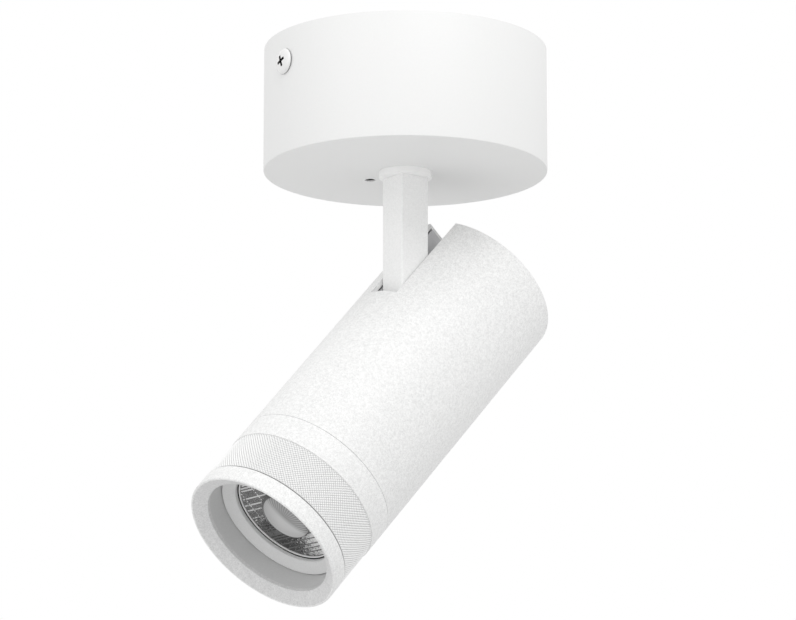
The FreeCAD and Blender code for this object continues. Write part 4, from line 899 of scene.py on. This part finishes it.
def make_knurl():
    """A closed ring whose outside is covered with low diamond pyramids."""
    low = KNURL_BACK - KNURL_LAP
    high = RING_FRONT
    half = (high - low) / 2
    base = (KNURL_RADIUS - KNURL_HEIGHT) * MM
    midway = base * (1 + KNURL_LEDGE) / 2
    pitch = (high - low) / KNURL_ROWS
    deselect()
    bpy.ops.mesh.primitive_cylinder_add(
        vertices=KNURLS_AROUND, radius=base, depth=(high - low) * MM, end_fill_type="NOTHING")
    knurl = named("focus_ring_knurl")
    pick(knurl, "EDGE", lambda a, b: abs(a.z - b.z) > MM)
    bpy.ops.mesh.subdivide(number_cuts=KNURL_ROWS - 1)
    bpy.ops.mesh.select_all(action="SELECT")
    bpy.ops.mesh.poke(offset=0)

    def on_grid(point):
        rows = (point.z / MM + half) / pitch
        return abs(rows - round(rows)) < 0.1

    def at_end(point):
        return abs(abs(point.z) / MM - half) < NEAR

    pick(knurl, "EDGE", lambda a, b: on_grid(a) and on_grid(b)
         and not (at_end(a) and at_end(b)))
    bpy.ops.mesh.dissolve_edges(use_verts=False)
    pick(knurl, "FACE", lambda centre, normal: True)
    bpy.ops.mesh.poke(offset=KNURL_HEIGHT * MM)
    for end in (-1, 1):
        pick(knurl, "VERT", lambda p: abs(p.z / MM - end * half) < NEAR
             and math.hypot(p.x, p.y) > midway)
        bpy.ops.mesh.extrude_edges_move()
        bpy.ops.transform.resize(
            value=(KNURL_LEDGE, KNURL_LEDGE, 1), center_override=(0, 0, 0))
    pick(knurl, "VERT", lambda p: math.hypot(p.x, p.y) < midway)
    bpy.ops.mesh.select_mode(type="EDGE")
    bpy.ops.mesh.bridge_edge_loops()
    leave()
    lay(knurl, Matrix.Translation(Vector((0, 0, (low + high) / 2)) * MM))
    finish_piece(knurl, KNURL_PAINT, "turning_ring", in_head=True)


def make_carrier():
    """The funnel round the lens, relieved near its front so that it slides freely."""
    carrier = turned("lens_carrier_funnel", rounded([
        (WINDOW_RADIUS, LENS_SEAT), (WINDOW_RADIUS, WINDOW_Z),
        (CARRIER_OUTSIDE - FRONT_RELIEF, CARRIER_FRONT),
        (CARRIER_OUTSIDE - FRONT_RELIEF, CARRIER_FRONT - RELIEF_LENGTH),
        (CARRIER_OUTSIDE, CARRIER_FRONT - RELIEF_LENGTH - RELIEF_SLOPE),
        (CARRIER_OUTSIDE, CARRIER_BACK),
        (LENS_POCKET, CARRIER_BACK), (LENS_POCKET, LENS_SEAT),
    ], [0, 0.25, 0.1, 0, 0, 0.2, 0.1, 0]), ROUND_LARGE)
    smooth(carrier, 30)
    finish_piece(carrier, FUNNEL_PAINTED_SHADE, "lens_slider", ["lens_carrier"],
                 in_head=True)


# ------------------------------------------------------------------ lens

def make_lens():
    """The lens's body with its convex middle."""
    foot = LENS_FRONT + DOME_FOOT
    cup = [(reach, LENS_BACK - depth) for reach, depth in LENS_CUP]
    dome = [(DOME_RADIUS * math.cos(a), foot + DOME_RISE * math.sin(a))
            for a in [math.radians(d) for d in range(DOME_STEP, 90, DOME_STEP)]]
    lens = turned("lens_body", cup + [
        (LENS_CUP_EDGE, LENS_BACK), (LENS_RADIUS, LENS_BACK),
        (LENS_RADIUS, LENS_FRONT), (DOME_RADIUS + 0.8, LENS_FRONT),
        (DOME_RADIUS + 0.15, LENS_FRONT), (DOME_RADIUS + 0.05, foot - 0.1),
    ] + dome + [(0, foot + DOME_RISE)], ROUND_LENS)
    smooth(lens, 40)
    finish_piece(lens, DOME, "lens_slider", ["lens"], in_head=True)


def make_lens_rim():
    """The bright turned edge of the lens, just inside the window."""
    top = LENS_FRONT + RIM_HEIGHT
    rim = turned("lens_rim", rounded([
        (RIM_INSIDE, LENS_FRONT), (RIM_INSIDE, top),
        (RIM_INSIDE + RIM_WIDTH, top), (RIM_INSIDE + RIM_WIDTH, LENS_FRONT),
    ], [0, 0.08, 0.08, 0]), ROUND_LENS)
    smooth(rim, 40)
    finish_piece(rim, RIM_GLOSS, "lens_slider", in_head=True)


def make_cells():
    """Small pillow facets in a honeycomb round the lens's middle."""
    side = CELL_SIZE / math.sqrt(3)
    deselect()
    bpy.ops.mesh.primitive_circle_add(vertices=6, radius=side * MM, fill_type="NGON")
    cells = named("lens_cells")
    second = Vector((CELL_SIZE / 2, side * 1.5, 0)) * MM
    edit("FACE")
    bpy.ops.mesh.select_all(action="SELECT")
    bpy.ops.mesh.duplicate_move(TRANSFORM_OT_translate={"value": second})
    leave()
    across = int(2 * LENS_RADIUS / CELL_SIZE) + 4
    along = int(2 * LENS_RADIUS / (side * 3)) + 3
    for count, step in ((across, (CELL_SIZE * MM, 0, 0)), (along, (0, side * 3 * MM, 0))):
        spread = cells.modifiers.new("spread", "ARRAY")
        spread.count = count
        spread.use_relative_offset = False
        spread.use_constant_offset = True
        spread.constant_offset_displace = step
    apply_all(cells)
    lay(cells, Matrix.Translation(Vector((
        -across * CELL_SIZE / 2, -along * side * 1.5, LENS_FRONT + CELL_LIFT)) * MM))
    inner = (DOME_RADIUS + DOME_TO_CELLS) * MM
    outer = (RIM_INSIDE - CELLS_TO_RIM) * MM
    pick(cells, "FACE", lambda centre, normal:
         not inner < math.hypot(centre.x, centre.y) < outer)
    bpy.ops.mesh.delete(type="FACE")
    bpy.ops.mesh.select_all(action="SELECT")
    bpy.ops.mesh.normals_make_consistent(inside=False)
    leave()
    if cells.data.polygons[0].normal.z < 0:
        edit("FACE")
        bpy.ops.mesh.select_all(action="SELECT")
        bpy.ops.mesh.flip_normals()
        leave()
    edit("FACE")
    bpy.ops.mesh.select_all(action="SELECT")
    for thickness, depth in CELL_STEPS:
        bpy.ops.mesh.inset(thickness=thickness * MM, depth=depth * MM, use_individual=True)
    leave()
    facet = cells.data.attributes.new("facet", "FLOAT", "FACE")
    for count, each in enumerate(facet.data):
        each.value = (count * count * GOLDEN + count * SECOND_STEP) % 1.0
    finish_piece(cells, CELLS, "lens_slider", in_head=True)


# ------------------------------------------------------------------ studio

# in metres and watts
FLOOR_LEVEL = -1.1
FLOOR_SIZE = 9
SOFT_LIGHT = 0.84       # strength of the surroundings on the object
LAMP_AIM = (0, -0.02, -0.11)
LAMPS = (               # name, place, size, power
    ("key", (0.84, -0.15, 0.74), 0.9, 4.8),
    ("fill", (0.1, -1.25, 0.1), 1.0, 1.9),
)
CAMERA_PLACE = (1.07644, -0.80965, -0.39356)
CAMERA_AIM = (-0.78122, 0.58524, 0.2170)
CAMERA_LENS = 178.62    # in millimetres, as is the sensor
CAMERA_SENSOR = 36


def make_floor():
    """A wide pale floor below the hanging lamp."""
    deselect()
    bpy.ops.mesh.primitive_plane_add(size=FLOOR_SIZE, location=(0, 0, FLOOR_LEVEL))
    floor = named("studio_floor")
    finish = Finish("pale_floor", Roughness=0.9)
    cloud = finish.noise(finish.place(), 0.4)
    finish.feed(Base_Color=finish.ramp(cloud, [(0.3, 0.86), (0.7, 0.89)]))
    floor.data.materials.append(finish.material)


def make_world():
    """White to the camera and in reflections, and a soft dome of light for the object."""
    world = bpy.data.worlds.new("studio")
    bpy.context.scene.world = world
    world.use_nodes = True
    nodes = Nodes(world.node_tree)
    nodes.tree.nodes.clear()
    camera_ray = nodes.node("LightPath", output="Is Camera Ray")
    seen = camera_ray.larger(camera_ray.also("Is Glossy Ray")).larger(
        camera_ray.also("Is Transmission Ray"))
    soft = nodes.node("Background", None, {"Color": grey(1.0), "Strength": SOFT_LIGHT})
    plain = nodes.node("Background", None, {"Color": grey(1.0), "Strength": 1.0})
    mixed = nodes.node("MixShader", None, [seen, soft, plain])
    nodes.node("OutputWorld", None, {"Surface": mixed})


def make_lamp(name, place, size, power):
    """A round lamp that faces the object."""
    light = bpy.data.lights.new(name, "AREA")
    light.shape = "DISK"
    light.size = size
    light.energy = power
    lamp = bpy.data.objects.new(name, light)
    bpy.context.scene.collection.objects.link(lamp)
    lamp.location = place
    aim = Vector(LAMP_AIM) - Vector(place)
    lamp.rotation_euler = aim.to_track_quat("-Z", "Y").to_euler()


def make_camera():
    """The camera at the photograph's viewing angle."""
    data = bpy.data.cameras.new("camera")
    data.sensor_width = CAMERA_SENSOR
    data.lens = CAMERA_LENS
    data.clip_start = 0.05
    data.clip_end = 30
    camera = bpy.data.objects.new("camera", data)
    bpy.context.scene.collection.objects.link(camera)
    camera.location = CAMERA_PLACE
    camera.rotation_euler = Vector(CAMERA_AIM).to_track_quat("-Z", "Y").to_euler()
    bpy.context.scene.camera = camera


def paint_nodes():
    """Give the CAD nodes that stay as they are their finishes."""
    for node, material in NODE_FINISHES.items():
        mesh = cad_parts[node].data
        mesh.materials.clear()
        mesh.materials.append(material)


def main():
    """Make the whole object, then the studio round it."""
    paint_nodes()
    make_canopy_cup()
    make_stop_screw()
    make_collar()
    make_side_screws()
    make_stem()
    make_head_shell()
    make_bezel()
    make_focus_ring()
    make_knurl()
    make_carrier()
    make_lens()
    make_lens_rim()
    make_cells()
    make_floor()
    make_world()
    for lamp in LAMPS:
        make_lamp(*lamp)
    make_camera()
    deselect()
    bpy.context.scene.view_settings.view_transform = "Standard"


main()
